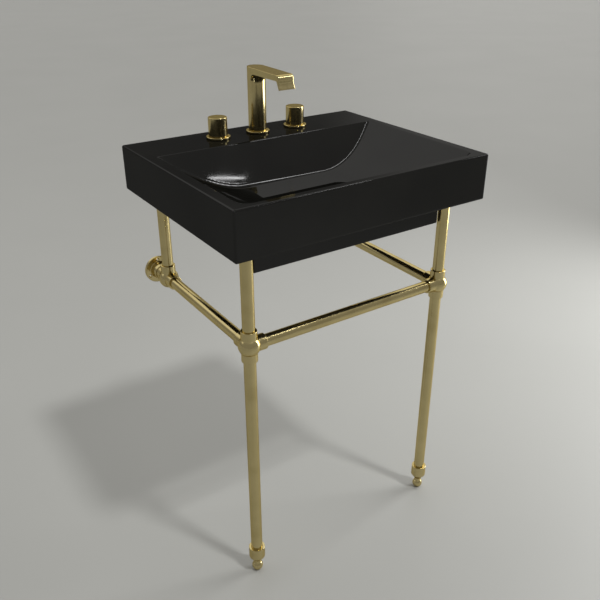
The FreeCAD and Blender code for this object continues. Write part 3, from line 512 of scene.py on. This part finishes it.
def newTree(name, inputs):
    tree = bpy.data.node_groups.new(name, "GeometryNodeTree")
    for word, kind, default in (*inputs, ("Material", "Material", None)):
        socket = tree.interface.new_socket(word, in_out="INPUT", socket_type="NodeSocket" + kind)
        if default is not None:
            socket.default_value = default
    tree.interface.new_socket("Geometry", in_out="OUTPUT", socket_type="NodeSocketGeometry")
    return tree, tree.nodes.new("NodeGroupInput").outputs, tree.nodes.new("NodeGroupOutput")


def addMath(tree, operation, one, two):
    return addNode(tree, "ShaderNodeMath", {0: one, 1: two}, operation=operation).outputs[0]


def addVector(tree, operation, given, result="Vector"):
    return addNode(tree, "ShaderNodeVectorMath", dict(enumerate(given)), operation=operation).outputs[result]


def sweepCurve(tree, path, section, capped=False):
    given = {"Curve": path.outputs["Curve"], "Profile Curve": section.outputs["Curve"], "Fill Caps": capped}
    return addNode(tree, "GeometryNodeCurveToMesh", given).outputs["Mesh"]


def turnTo(tree, way):
    return addNode(tree, "FunctionNodeAlignRotationToVector", {"Vector": way}, axis="Z").outputs["Rotation"]


def moved(tree, geometry, shift, **more):
    given = {"Geometry": geometry, "Translation": shift, **more}
    return addNode(tree, "GeometryNodeTransform", given).outputs["Geometry"]


def endTree(tree, geometry, given, outlet):
    real = addNode(tree, "GeometryNodeRealizeInstances", {0: geometry})
    paint = addNode(tree, "GeometryNodeSetMaterial", {"Geometry": real.outputs[0], "Material": given["Material"]})
    feed(tree, outlet, {"Geometry": paint.outputs["Geometry"]})
    return tree


def makeTubeTree():
    tree, given, outlet = newTree("tubeRun", (
        ("Start", "Vector", None), ("End", "Vector", None), ("Outer Diameter", "Float", 0.0254),
        ("Wall", "Float", 0.0015), ("End Round", "Float", 0.0004), ("Sides", "Int", 72),
    ))
    run = addVector(tree, "SUBTRACT", (given["End"], given["Start"]))
    length = addVector(tree, "LENGTH", (run,), "Value")
    middle = addNode(tree, "ShaderNodeMix", {"Factor": 0.5}, data_type="VECTOR")
    ends = [s for s in middle.inputs if s.type == "VECTOR" and s.name in ("A", "B")]
    for word, end in zip(("Start", "End"), ends):
        tree.links.new(given[word], end)
    centre = [s for s in middle.outputs if s.type == "VECTOR"][0]
    across = addMath(tree, "SUBTRACT", given["Outer Diameter"], given["Wall"])
    radius = addMath(tree, "MULTIPLY", across, 0.5)
    lap = addNode(tree, "GeometryNodeCurvePrimitiveCircle", {"Radius": radius, "Resolution": given["Sides"]})
    section = addNode(tree, "GeometryNodeCurvePrimitiveQuadrilateral", {"Width": given["Wall"], "Height": length})
    corners = {"Curve": section.outputs["Curve"], "Count": 3, "Radius": given["End Round"]}
    soft = addNode(tree, "GeometryNodeFilletCurve", corners, mode="POLY")
    tube = moved(tree, sweepCurve(tree, lap, soft), centre, Rotation=turnTo(tree, run))
    return endTree(tree, tube, given, outlet)


def growPiece(name, tree, values, mesh=None):
    thing = looseObject(name, mesh or bpy.data.meshes.new(name))
    grow = thing.modifiers.new("grow", "NODES")
    grow.node_group = tree
    for socket in tree.interface.items_tree:
        if socket.in_out == "INPUT" and socket.name in values:
            grow[socket.identifier] = values[socket.name]
    made = plainMesh(thing)
    thing.modifiers.remove(grow)
    thing.data = made
    return thing


tubeTree = makeTubeTree()


def makeTubes():
    look = standLook
    stop, rail = look["socketStop"], look["railZ"]
    runs = {"front_rail": ((stop - look["legX"], look["frontY"], rail), (1, 0, 0), 2 * look["legX"] - 2 * stop)}
    foot = look["floorZ"] + look["cupSeat"]
    up = look["postTop"] - rail - stop
    back = look["rearY"] - look["frontY"] - 2 * stop
    wall = -look["flangeFloor"] - look["rearY"] - stop
    for word, side in leftRight:
        x = side * look["legX"]
        runs["front_post_" + word] = ((x, look["frontY"], rail + stop), (0, 0, 1), up)
        runs["rear_post_" + word] = ((x, look["rearY"], rail + stop), (0, 0, 1), up)
        runs["leg_" + word] = ((x, look["frontY"], foot), (0, 0, 1), rail - stop - foot)
        runs["side_rail_" + word] = ((x, look["frontY"] + stop, rail), (0, 1, 0), back)
        runs["wall_nipple_" + word] = ((x, look["rearY"] + stop, rail), (0, 1, 0), wall)
    for node, (start, along, length) in runs.items():
        first = Vector(start) * mm
        last = first + Vector(along) * length * mm
        tube = growPiece(node + "_tube", tubeTree, {
            "Start": first, "End": last, "Outer Diameter": look["tubeDia"] * mm, "Wall": look["tubeWall"] * mm,
            "End Round": look["tubeEndRound"] * mm, "Material": standBrass,
        })
        finishPiece(tube, standBrass, "sink", [node])
    print("tubes made:", len(runs))


makeTubes()


def makeFitting(node, at, branches):
    look = standLook
    half = look["ball"] / 2
    bm = bmesh.new()
    steps = look["ballSteps"]
    arc = [math.radians(180 * k / steps - 90) for k in range(1, steps)]
    outline = [(0, -half)] + [(half * math.cos(a), half * math.sin(a)) for a in arc] + [(0, half)]
    lathe(bm, outline, axisPlace(at))
    fitting = looseObject(node + "_cast", closeMesh(bm, node))
    r, end = look["collar"] / 2, look["reach"]
    for along in branches:
        collar = ((0, 0, 0), (r, 0, 0), (r, end, look["collarRound"]), (0, end, 0))
        combine(fitting, turnedObject("collar", collar, at, along, 72), "UNION")
    bores, holes = [], []
    inner = look["grubInner"]
    for along, facing in branches.items():
        mouth = Vector(at) + Vector(along) * look["socketStop"]
        depth = end - look["socketStop"] + 1
        bores.append(pinObject("bore", look["tubeDia"] + slip, depth, mouth, along, 72))
        spot = Vector(at) + Vector(along) * look["grubPlace"]
        start = spot + Vector(facing) * inner
        holes.append(pinObject("grubHole", look["grub"] + slip, r - inner + past, start, facing, 32))
        grubSpots.append((spot + Vector(facing) * (r - look["grubSunk"]), facing))
    combine(fitting, joinedObject("bores", bores), "DIFFERENCE")
    combine(fitting, joinedObject("grubHoles", holes), "DIFFERENCE")
    finishPiece(fitting, standBrass, "sink", [node], 26)


def makeFittings():
    look = standLook
    up, down, back = (0, 0, 1), (0, 0, -1), (0, 1, 0)  # the screws face where they show least
    for word, side in leftRight:
        x = side * look["legX"]
        front = (x, look["frontY"], look["railZ"])
        rear = (x, look["rearY"], look["railZ"])
        makeFitting("front_fitting_" + word, front, {up: back, down: back, (-side, 0, 0): down, back: down})
        makeFitting("rear_fitting_" + word, rear, {up: back, (0, -1, 0): down, back: down})
    print("fittings made")


makeFittings()

flangeLook = dict(
    dia=64.0, thick=6.0, edge=1.5, boss=40.0, bossEnd=36.0, length=28.5,
    hole=5.2, sink=8.6, sinkDepth=1.7, holeCircle=49.0, holeAngles=(90, 210, 330),
    grubFromWall=-22.5, grubOut=17.8, grubDeep=12.0,
)


def makeFlange(word, side):
    look, stand = flangeLook, standLook
    at = (side * stand["legX"], 0, stand["railZ"])
    bore = (stand["tubeDia"] + slip) / 2
    corners = (
        (0, 0, 0), (look["dia"] / 2, 0, 0.4), (look["dia"] / 2, look["thick"], look["edge"]),
        (look["boss"] / 2, look["thick"], 1.6), (look["bossEnd"] / 2, look["length"], 1.2),
        (bore, look["length"], 0.3), (bore, stand["flangeFloor"], 0), (0, stand["flangeFloor"], 0),
    )
    flange = turnedObject("wall_flange_%s_cast" % word, corners, at, (0, -1, 0))
    holes = []
    thin, wide, thick = look["hole"] / 2, look["sink"] / 2, look["thick"]
    mouth = ((0, -1, 0), (thin, -1, 0), (thin, thick - look["sinkDepth"], 0), (wide, thick + 0.02, 0),
             (wide, thick + past, 0), (0, thick + past, 0))
    for angle in look["holeAngles"]:
        turn = math.radians(angle)
        spot = Vector((math.cos(turn), 0, math.sin(turn))) * look["holeCircle"] / 2 + Vector(at)
        holes.append(turnedObject("screwHole", mouth, spot, (0, -1, 0), 40))
    spot = Vector(at) + Vector((0, look["grubFromWall"], 0))
    start = spot + Vector((0, 0, -stand["grubInner"]))
    holes.append(pinObject("grubHole", stand["grub"] + slip, look["grubDeep"], start, (0, 0, -1), 32))
    grubSpots.append((spot + Vector((0, 0, -look["grubOut"])), (0, 0, -1)))
    combine(flange, joinedObject("screwHoles", holes), "DIFFERENCE")
    finishPiece(flange, standBrass, "sink", ["wall_flange_" + word])


footLook = dict(
    cupDia=36.0, cupNeck=19.0, cupTop=70.0, cupShoulder=42.0, cupBottom=30.0, cupGap=0.3,
    ball=24.5, flat=0.8, neck=16.0, stem=10.0, stemTop=64.0, ballSteps=36,
)


def makeFoot(word, side):
    look, stand = footLook, standLook
    at = (side * stand["legX"], stand["frontY"], stand["floorZ"])
    bore = (stand["tubeDia"] + slip) / 2
    stem = (look["stem"] + slip) / 2
    cup = (
        (stem, look["cupBottom"], 0), (look["cupNeck"] / 2, look["cupBottom"], 0.8),
        (look["cupDia"] / 2, look["cupShoulder"], 4.0), (look["cupDia"] / 2, look["cupTop"], 1.0),
        (bore, look["cupTop"], 0.4), (bore, stand["cupSeat"], 0), (stem, stand["cupSeat"], 0),
    )
    finishPiece(turnedObject("foot_cup_%s_turned" % word, cup, at), standBrass, "sink", ["foot_cup_" + word])
    r = look["ball"] / 2
    centre = r - look["flat"]
    low = -math.asin(centre / r)
    neck = look["neck"] / 2
    high = math.acos(neck / r)
    arc = [low + (high - low) * k / look["ballSteps"] for k in range(look["ballSteps"] + 1)]
    outline = [(0, 0)] + [(r * math.cos(a), centre + r * math.sin(a)) for a in arc]
    top = look["cupBottom"] - look["cupGap"]
    stem = look["stem"] / 2
    outline += softOutline((
        (neck, centre + r * math.sin(high), 0), (neck, top, 0.6), (stem, top, 0.4),
        (stem, look["stemTop"], 0.6), (0, look["stemTop"], 0),
    ))[1:]
    bm = bmesh.new()
    lathe(bm, outline, axisPlace(at), 72)
    foot = looseObject("levelling_foot_%s_turned" % word, closeMesh(bm, "foot"))
    finishPiece(foot, standBrass, "foot_" + word, ["levelling_foot_" + word])


for word, side in leftRight:
    makeFlange(word, side)
    makeFoot(word, side)
print("flanges, cups and feet made")


def makeScrewTree():
    tree, given, outlet = newTree("setScrews", (
        ("Geometry", "Geometry", None), ("Diameter", "Float", 0.005), ("Length", "Float", 0.0034),
        ("Socket", "Float", 0.0025), ("Socket Depth", "Float", 0.0016),
    ))

    def scaled(word, share):
        return addMath(tree, "MULTIPLY", given[word], share)

    def rod(sides, radius, depth):
        size = {"Vertices": sides, "Radius": radius, "Depth": depth}
        return addNode(tree, "GeometryNodeMeshCylinder", size).outputs["Mesh"]

    lift = addNode(tree, "ShaderNodeCombineXYZ", {"Z": scaled("Length", -0.5)})
    shaft = moved(tree, rod(32, scaled("Diameter", 0.5), given["Length"]), lift.outputs["Vector"])
    socket = rod(6, scaled("Socket", 1 / math.sqrt(3)), scaled("Socket Depth", 2.0))
    meshes = {"Mesh 1": shaft, "Mesh 2": socket}
    cut = addNode(tree, "GeometryNodeMeshBoolean", meshes, operation="DIFFERENCE", solver="EXACT")
    facing = addNode(tree, "GeometryNodeInputNamedAttribute", {"Name": "facing"}, data_type="FLOAT_VECTOR")
    spread = addNode(tree, "GeometryNodeInstanceOnPoints", {
        "Points": given["Geometry"], "Instance": cut.outputs["Mesh"],
        "Rotation": turnTo(tree, facing.outputs["Attribute"]),
    })
    return endTree(tree, spread.outputs["Instances"], given, outlet)


def makeSetScrews():
    look = standLook
    mesh = bpy.data.meshes.new("screwSpots")
    mesh.from_pydata([Vector(spot) * mm for spot, facing in grubSpots], [], [])
    ways = mesh.attributes.new("facing", "FLOAT_VECTOR", "POINT")
    for n, (spot, facing) in enumerate(grubSpots):
        ways.data[n].vector = facing
    screws = growPiece("set_screws", makeScrewTree(), {
        "Diameter": look["grub"] * mm, "Length": look["grubLength"] * mm, "Socket": look["grubSocket"] * mm,
        "Socket Depth": look["grubSocketDepth"] * mm, "Material": brushedSteel,
    }, mesh)
    finishPiece(screws, brushedSteel, "sink", ["fitting_grub_screws"])
    print("set screws made:", len(grubSpots))


makeSetScrews()

tapLook = dict(
    fromWall=66.0, spacing=203.2, gasket=0.8, ringDia=53.0, ringThick=4.5, ringEdge=1.0,
    knobDia=42.0, knobTop=47.0, knobEdge=1.3, knobGap=0.4, stem=10.0, stemTop=28.0, screwDia=4.0, screwHeight=18.0,
    valve=29.8, shank=28.0,
)
spoutLook = dict(
    dia=40.5, height=145.0, reach=127.0, armThick=14.0, armFall=2.4, lipDrop=31.0, lipThick=4.0,
    noseLean=7.0, noseDepth=12.4, noseDish=2.4, foldRound=10.0, insideRound=5.0, throatOut=9.0, throatDrop=20.0,
    edge=0.7, noseEdge=4.5, edgeSteps=4, noseSteps=12, insideSteps=10, throatSteps=10, sides=96,
    aerator=18.0, aeratorDepth=5.0, aeratorReach=105.0,
)


def makeRing(node, x, hole):
    look = tapLook
    bottom = rim + look["gasket"]
    top = bottom + look["ringThick"]
    inner, outer = (hole + slip) / 2, look["ringDia"] / 2
    corners = ((inner, bottom, 0), (outer, bottom, 0.3), (outer, top, look["ringEdge"]), (inner, top, 0.3))
    ring = turnedObject(node + "_turned", corners, (x, -look["fromWall"], 0), (0, 0, 1), 120)
    finishPiece(ring, faucetBrass, "sink", [node])


def makeKnob(word, side):
    look = tapLook
    at = (side * look["spacing"] / 2, -look["fromWall"], rim)
    base = look["gasket"] + look["ringThick"] + look["knobGap"]
    bore, outer = (look["stem"] + slip) / 2, look["knobDia"] / 2
    corners = (
        (bore, base, 0), (outer, base, 0.5), (outer, look["knobTop"], look["knobEdge"]),
        (0, look["knobTop"], 0), (0, look["stemTop"], 0), (bore, look["stemTop"], 0),
    )
    knob = turnedObject(word + "_knob_turned", corners, at, (0, 0, 1), 120)
    screwAt = Vector(at) + Vector((0, look["stem"] / 2 - 1, look["screwHeight"]))
    hole = pinObject("screwHole", look["screwDia"] + slip, look["knobDia"], screwAt, (0, 1, 0), 40)
    combine(knob, hole, "DIFFERENCE")
    finishPiece(knob, faucetBrass, word + "_handle", [word + "_knob"])


def makeSpout():
    look, tap = spoutLook, tapLook
    r, axis = look["dia"] / 2, -tap["fromWall"]
    base = rim + tap["gasket"] + tap["ringThick"]
    top = rim + look["height"]
    under = top - look["armThick"]
    nose = axis - look["reach"]
    back = axis + r + 1
    foldY = nose + look["noseLean"]

    def topAt(y):
        return top - look["armFall"] * (back - y) / (back - foldY)

    lip = top - look["lipDrop"]
    steps = look["noseSteps"]
    fold = softOutline(((back, top, 0), (foldY, topAt(foldY), look["foldRound"]), (nose, lip, 0)), steps)[1:-1]
    face = []  # the nose's front, a little hollow
    for k in range(1, steps + 1):
        spot = Vector(fold[-1]).lerp(Vector((nose, lip)), k / steps)
        face.append((spot.x + look["noseDish"] * math.sin(math.pi * k / steps) ** 2, spot.y))
    outer = [(axis, topAt(axis))] + fold + face
    sides = look["sides"]
    half = sides // 2
    turns = fullTurn(sides)
    bends = quarter(look["edgeSteps"])
    bm = bmesh.new()

    def softEdge(spot, sideways, upwards, soft):
        row = []
        for b in bends:
            inward = sideways * soft * (1 - math.cos(b)) + upwards * soft * (1 - math.sin(b))
            row.append(bm.verts.new((spot - inward) * mm))
        return row

    foot, mid = ([bm.verts.new(Vector((r * math.cos(t), axis + r * math.sin(t), level)) * mm) for t in turns]
                 for level in (base, under))
    head = []  # rounded edge round the back of the column
    for t in turns[1:half]:
        way = Vector((math.cos(t), math.sin(t), 0))
        spot = Vector((0, axis, 0)) + way * r
        head.append(softEdge(Vector((spot.x, spot.y, topAt(spot.y))), way, Vector((0, 0, 1)), look["edge"]))
    arm = {1: [], -1: []}  # the same edge along the arm and down the nose
    taper = (look["noseDepth"] - look["lipThick"]) / (under - lip)
    for n, (y, z) in enumerate(outer):
        before, after = outer[max(n - 1, 0)], outer[min(n + 1, len(outer) - 1)]
        run = Vector((0, after[0] - before[0], after[1] - before[1])).normalized()
        out = Vector((0, run.z, -run.y))
        share = min(max((n - 1) / (len(fold) - 1), 0.0), 1.0)
        thick = look["lipThick"] + taper * (z - lip) + nose - y
        most = max(0.75 * thick - look["edge"], 0.0)  # keeps the rounding inside the nose
        soft = look["edge"] + min((look["noseEdge"] - look["edge"]) * share, most)
        for side in (1, -1):
            arm[side].append(softEdge(Vector((side * r, y, z)), Vector((side, 0, 0)), out, soft))
    corner = (nose + look["noseDepth"], under, look["insideRound"])
    inside = softOutline(((nose + look["lipThick"], lip, 0), corner, (axis, under, 0)), look["insideSteps"])[:-1]
    inner = {side: [bm.verts.new(Vector((side * r, y, z)) * mm) for y, z in inside] for side in (1, -1)}
    crest = [arm[1][0]] + head + [arm[-1][0]]
    bridge(bm, foot, mid)
    for k in range(half):
        bm.faces.new((mid[k], mid[k + 1], crest[k + 1][0], crest[k][0]))
    for row in (crest, arm[1], arm[-1]):
        for one, two in zip(row, row[1:]):
            for k in range(len(bends) - 1):
                bm.faces.new((one[k], two[k], two[k + 1], one[k + 1]))
    bm.faces.new([edge[-1] for edge in crest] + [arm[-1][1][-1], arm[1][1][-1]])
    for k in range(1, len(outer) - 1):
        bm.faces.new((arm[1][k][-1], arm[-1][k][-1], arm[-1][k + 1][-1], arm[1][k + 1][-1]))
    bm.faces.new(arm[1][-1] + list(reversed(arm[-1][-1])) + [inner[-1][0], inner[1][0]])
    for k in range(len(inside) - 1):
        bm.faces.new((inner[1][k], inner[-1][k], inner[-1][k + 1], inner[1][k + 1]))
    bm.faces.new([mid[0]] + [edge[0] for edge in arm[1]] + inner[1])
    bm.faces.new([mid[half]] + [edge[0] for edge in arm[-1]] + inner[-1])
    bm.faces.new(mid[half:] + [mid[0], inner[1][-1], inner[-1][-1]])
    bm.faces.new(foot)
    spout = looseObject("spout_body", closeMesh(bm, "spout"))
    wide, deep = look["throatOut"], look["throatDrop"]  # hollow rounding where the arm leaves the column
    throat = [(r - 3, under + past), (r - 3, under - deep)]
    for b in quarter(look["throatSteps"]):
        throat.append((r + wide - wide * math.cos(b), under - deep + deep * math.sin(b)))
    throat += [(r + wide, under + past)]
    bm = bmesh.new()
    lathe(bm, throat, axisPlace((0, axis, 0)), sides)
    gusset = looseObject("gusset", closeMesh(bm, "gusset"))
    combine(gusset, boxObject("armWidth", (-r, axis - 60, under - 40), (r, axis, under + 40)), "INTERSECT")
    combine(spout, gusset, "UNION")
    at = (0, axis - look["aeratorReach"], under - 3)
    hole = pinObject("outlet", look["aerator"] + slip, look["aeratorDepth"] + 3, at, (0, 0, 1), 72)
    combine(spout, hole, "DIFFERENCE")
    finishPiece(spout, faucetBrass, "sink", ["spout"])


makeSpout()
makeRing("spout_base_ring", 0, tapLook["shank"])
for word, side in hotCold:
    makeRing(word + "_base_ring", side * tapLook["spacing"] / 2, tapLook["valve"])
    makeKnob(word, side)
print("faucet made")

aeratorLook = dict(dia=18.0, height=4.8, dish=14.0, dishDepth=1.5, wire=0.3, pitch=1.1, screenUp=0.9)


def makeScreenTree():
    tree, given, outlet = newTree("wireScreen", (
        ("Centre", "Vector", None), ("Diameter", "Float", 0.014), ("Wires", "Int", 13), ("Wire", "Float", 0.0003),
    ))
    net = addNode(tree, "GeometryNodeMeshGrid", {
        "Size X": given["Diameter"], "Size Y": given["Diameter"],
        "Vertices X": given["Wires"], "Vertices Y": given["Wires"],
    })
    place = addNode(tree, "GeometryNodeInputPosition", {})
    reach = addVector(tree, "LENGTH", (place.outputs["Position"],), "Value")
    limit = addMath(tree, "MULTIPLY", given["Diameter"], 0.53)
    test = dict(data_type="FLOAT", operation="GREATER_THAN")
    outside = addNode(tree, "FunctionNodeCompare", {"A": reach, "B": limit}, **test)
    mesh = {"Geometry": net.outputs["Mesh"], "Selection": outside.outputs["Result"]}
    trim = addNode(tree, "GeometryNodeDeleteGeometry", mesh, domain="POINT")
    wires = addNode(tree, "GeometryNodeMeshToCurve", {"Mesh": trim.outputs["Geometry"]})
    radius = addMath(tree, "MULTIPLY", given["Wire"], 0.5)
    section = addNode(tree, "GeometryNodeCurvePrimitiveCircle", {"Resolution": 8, "Radius": radius})
    screen = sweepCurve(tree, wires, section, True)
    return endTree(tree, moved(tree, screen, given["Centre"]), given, outlet)


def makeAerator():
    look = aeratorLook
    spout = spoutLook
    at = (0, -tapLook["fromWall"] - spout["aeratorReach"], rim + spout["height"] - spout["armThick"])
    inner, outer = look["dish"] / 2, look["dia"] / 2
    corners = ((inner, 0, 0.3), (outer, 0, 0.4), (outer, look["height"], 0.3), (0, look["height"], 0),
               (0, look["dishDepth"], 0), (inner, look["dishDepth"], 0))
    finishPiece(turnedObject("aerator_ring", corners, at, (0, 0, 1), 72), greyPlastic, "sink", ["aerator"])
    screen = growPiece("aerator_screen", makeScreenTree(), {
        "Centre": (Vector(at) + Vector((0, 0, look["screenUp"]))) * mm, "Diameter": look["dish"] * mm,
        "Wires": round(look["dish"] / look["pitch"]), "Wire": look["wire"] * mm, "Material": brushedSteel,
    })
    finishPiece(screen, brushedSteel, "sink", [])


makeAerator()
print("aerator made")

plugLook = dict(dia=46.0, thick=4.0, edge=1.4, stem=8.0, stemLength=44.0, base=-38.3)


def makePlug():
    look = plugLook
    base, stem, outer = look["base"], look["stem"] / 2, look["dia"] / 2
    low, high = base - look["stemLength"], base + look["thick"]
    corners = (
        (0, low, 0), (stem, low, 0.8), (stem, base, 0),
        (outer, base, 0.4), (outer, high, look["edge"]), (0, high, 0),
    )
    plug = turnedObject("drain_plug_turned", corners, (0, -basinLook["drainFromWall"], 0), (0, 0, 1), 120)
    finishPiece(plug, faucetBrass, "drain_stopper", ["drain_plug"])


def makeThreadTree():
    tree, given, outlet = newTree("threadRun", (
        ("Start", "Vector", None), ("Diameter", "Float", 0.0209), ("Length", "Float", 0.03),
        ("Pitch", "Float", 0.0018), ("Ridge", "Float", 0.0005),
    ))
    radius = addMath(tree, "MULTIPLY", given["Diameter"], 0.5)
    coil = addNode(tree, "GeometryNodeCurveSpiral", {
        "Resolution": 56, "Rotations": addMath(tree, "DIVIDE", given["Length"], given["Pitch"]),
        "Start Radius": radius, "End Radius": radius, "Height": given["Length"],
    })
    level = addNode(tree, "GeometryNodeSetCurveNormal", {"Curve": coil.outputs["Curve"]}, mode="Z_UP")
    section = addNode(tree, "GeometryNodeCurvePrimitiveCircle", {"Resolution": 4, "Radius": given["Ridge"]})
    thread = sweepCurve(tree, level, section, True)
    return endTree(tree, moved(tree, thread, given["Start"]), given, outlet)


threadLook = dict(  # start height, length, diameter, pitch, ridge
    inlet=(-38.5, 30.0, 20.8, 1.814, 0.45), valve=(18.5, 8.0, 29.7, 1.5, 0.35),
    drain=(-88.0, 20.0, 42.3, 2.309, 0.55),
)


def makeThreads():
    tree = makeThreadTree()
    tap = tapLook["spacing"] / 2
    places = [("%s_%s_thread" % (word, kind), kind, side * tap, -tapLook["fromWall"], castBrass)
              for kind in ("inlet", "valve") for word, side in hotCold]
    places += [("drain_thread", "drain", 0, -basinLook["drainFromWall"], faucetBrass)]
    for name, kind, x, y, finish in places:
        start, length, dia, pitch, ridge = threadLook[kind]
        thread = growPiece(name, tree, {
            "Start": Vector((x, y, start)) * mm, "Diameter": dia * mm, "Length": length * mm, "Pitch": pitch * mm,
            "Ridge": ridge * mm, "Material": finish,
        })
        finishPiece(thread, finish, "sink", [], 50)
    print("threads made:", len(places))


makePlug()
makeThreads()

hardware = {  # solids whose shape stays
    blackRubber: ("support_pads", "deck_gaskets", "drain_gasket"),
    brushedSteel: ("deck_washers", "hot_knob_screw", "cold_knob_screw"),
    ivoryPlastic: ("hot_cartridge", "cold_cartridge"),
    faucetBrass: ("drain_body", "tailpiece"),
    castBrass: (
        "spout_shank", "spout_tee", "deck_nuts", "crossover_tube_left", "crossover_tube_right", "coupling_nuts",
        "hot_valve_body", "cold_valve_body", "hot_bonnet_nut", "cold_bonnet_nut", "hot_stem", "cold_stem",
        "drain_locknut",
    ),
}
for finish, names in hardware.items():
    for name in names:
        mesh = nodes[name].data
        mesh.materials.clear()
        mesh.materials.append(finish)
print("hardware painted:", sum(len(names) for names in hardware.values()))

roomLook = dict(
    floorTone=(0.36, 0.362, 0.345), floorHalf=45.0, floorGloss=0.5,
    backSky=0.29, frontSky=0.29, topSky=0.42, skyTint=(1.0, 0.985, 0.95),
    skyDepth=(-0.75, 0.35), skyRise=(0.55, 1.0),
    sunFrom=(0.18, -0.45, 0.875), sunPower=1.2, sunSoft=6.0,
    windowAt=(2.15, -0.70, 0.45), windowWidth=1.1, windowHeight=2.6, windowPower=55.0,
    bandSky=0.72, bandRise=(0.30, 0.48), bandRight=(0.56, 0.68), bandBehind=(0.15, 0.45),
    stripAt=(1.357, -0.799, 2.12), stripAlong=(0.45, 0.9, 0), stripLength=1.06, stripDepth=0.11, stripPower=4.0,
    spotAt=(1.425, -1.908, 2.608), spotAlong=(0.271, 0.006, -0.109), spotLength=0.27, spotDepth=0.014,
    spotPower=0.26, aim=(0, -0.2, 0),
    lens=42.616, sensor=36.0, cameraAt=(-0.8264, -1.461, 0.466), cameraFacing=(0.4971, 0.7355, -0.4604),
)


def makeFloor():
    bm = bmesh.new()
    bmesh.ops.create_grid(bm, x_segments=8, y_segments=8, size=roomLook["floorHalf"])
    bmesh.ops.translate(bm, verts=bm.verts, vec=(0, 0, cadLow.z))
    floor = looseObject("floor", closeMesh(bm, "floor"))
    finish, tree, shader = newFinish("paleFloor", 0.0, roomLook["floorGloss"])
    tone = Vector(roomLook["floorTone"])
    cloud = addRamp(tree, addNoise(tree, 1.5, 3.0), ((0.3, tone * 0.98), (0.7, tone * 1.02)))
    feed(tree, shader, {"Base Color": cloud})
    floor.data.materials.append(finish)


def makeSky():
    look = roomLook
    world = bpy.data.worlds.new("studio")
    world.use_nodes = True
    tree = world.node_tree
    coords = addNode(tree, "ShaderNodeTexCoord", {})
    split = addNode(tree, "ShaderNodeSeparateXYZ", {"Vector": coords.outputs["Generated"]})

    def step(axis, span, low, high):
        return addRange(tree, split.outputs[axis], low, high, *span, interpolation_type="SMOOTHSTEP")

    depth = step("Y", look["skyDepth"], look["frontSky"], look["backSky"])
    shares = {"Factor": step("Z", look["skyRise"], 0.0, 1.0), "A": depth, "B": look["topSky"]}
    blend = addNode(tree, "ShaderNodeMix", shares, data_type="FLOAT")
    high = step("Z", look["bandRise"], 0.0, 1.0)
    right = step("X", look["bandRight"], 0.0, 1.0)
    behind = step("Y", look["bandBehind"], 0.0, look["bandSky"])
    band = addMath(tree, "MULTIPLY", addMath(tree, "MAXIMUM", high, right), behind)  # paler up and to the right
    total = addMath(tree, "ADD", blend.outputs["Result"], band)
    feed(tree, tree.nodes["Background"], {"Color": (*look["skyTint"], 1), "Strength": total})
    scene.world = world


def makeLamp(name, shape, at, size, power, target, along):
    lamp = bpy.data.lights.new(name, "AREA")
    lamp.shape = shape
    lamp.size, lamp.size_y = size
    lamp.energy = power
    thing = bpy.data.objects.new(name, lamp)
    thing.location = at
    facing = (Vector(at) - Vector(target)).normalized()
    across = facing.cross(Vector(along)).normalized()
    thing.rotation_euler = Matrix((across.cross(facing), across, facing)).transposed().to_euler()
    scene.collection.objects.link(thing)
    return thing


def makeLamps():
    look = roomLook
    sun = bpy.data.lights.new("sun", "SUN")
    sun.energy = look["sunPower"]
    sun.angle = math.radians(look["sunSoft"])
    sunLamp = bpy.data.objects.new("sun", sun)
    sunLamp.rotation_euler = Vector(look["sunFrom"]).to_track_quat("Z", "Y").to_euler()
    scene.collection.objects.link(sunLamp)
    at = look["windowAt"]
    size = look["windowWidth"], look["windowHeight"]
    makeLamp("window", "RECTANGLE", at, size, look["windowPower"], (0, -0.25, at[2]), (0, 1, 0))
    for name in ("strip", "spot"):
        at, size = look[name + "At"], (look[name + "Length"], look[name + "Depth"])
        lamp = makeLamp(name, "ELLIPSE", at, size, look[name + "Power"], look["aim"], look[name + "Along"])
        lamp.visible_diffuse = False  # only gloss shows these two


def makeCamera():
    look = roomLook
    lens = bpy.data.cameras.new("camera")
    lens.lens = look["lens"]
    lens.sensor_width = look["sensor"]
    camera = bpy.data.objects.new("camera", lens)
    camera.location = look["cameraAt"]
    camera.rotation_euler = Vector(look["cameraFacing"]).to_track_quat("-Z", "Y").to_euler()
    scene.collection.objects.link(camera)
    scene.camera = camera


makeFloor()
makeSky()
makeLamps()
makeCamera()
print("floor, light and camera set")
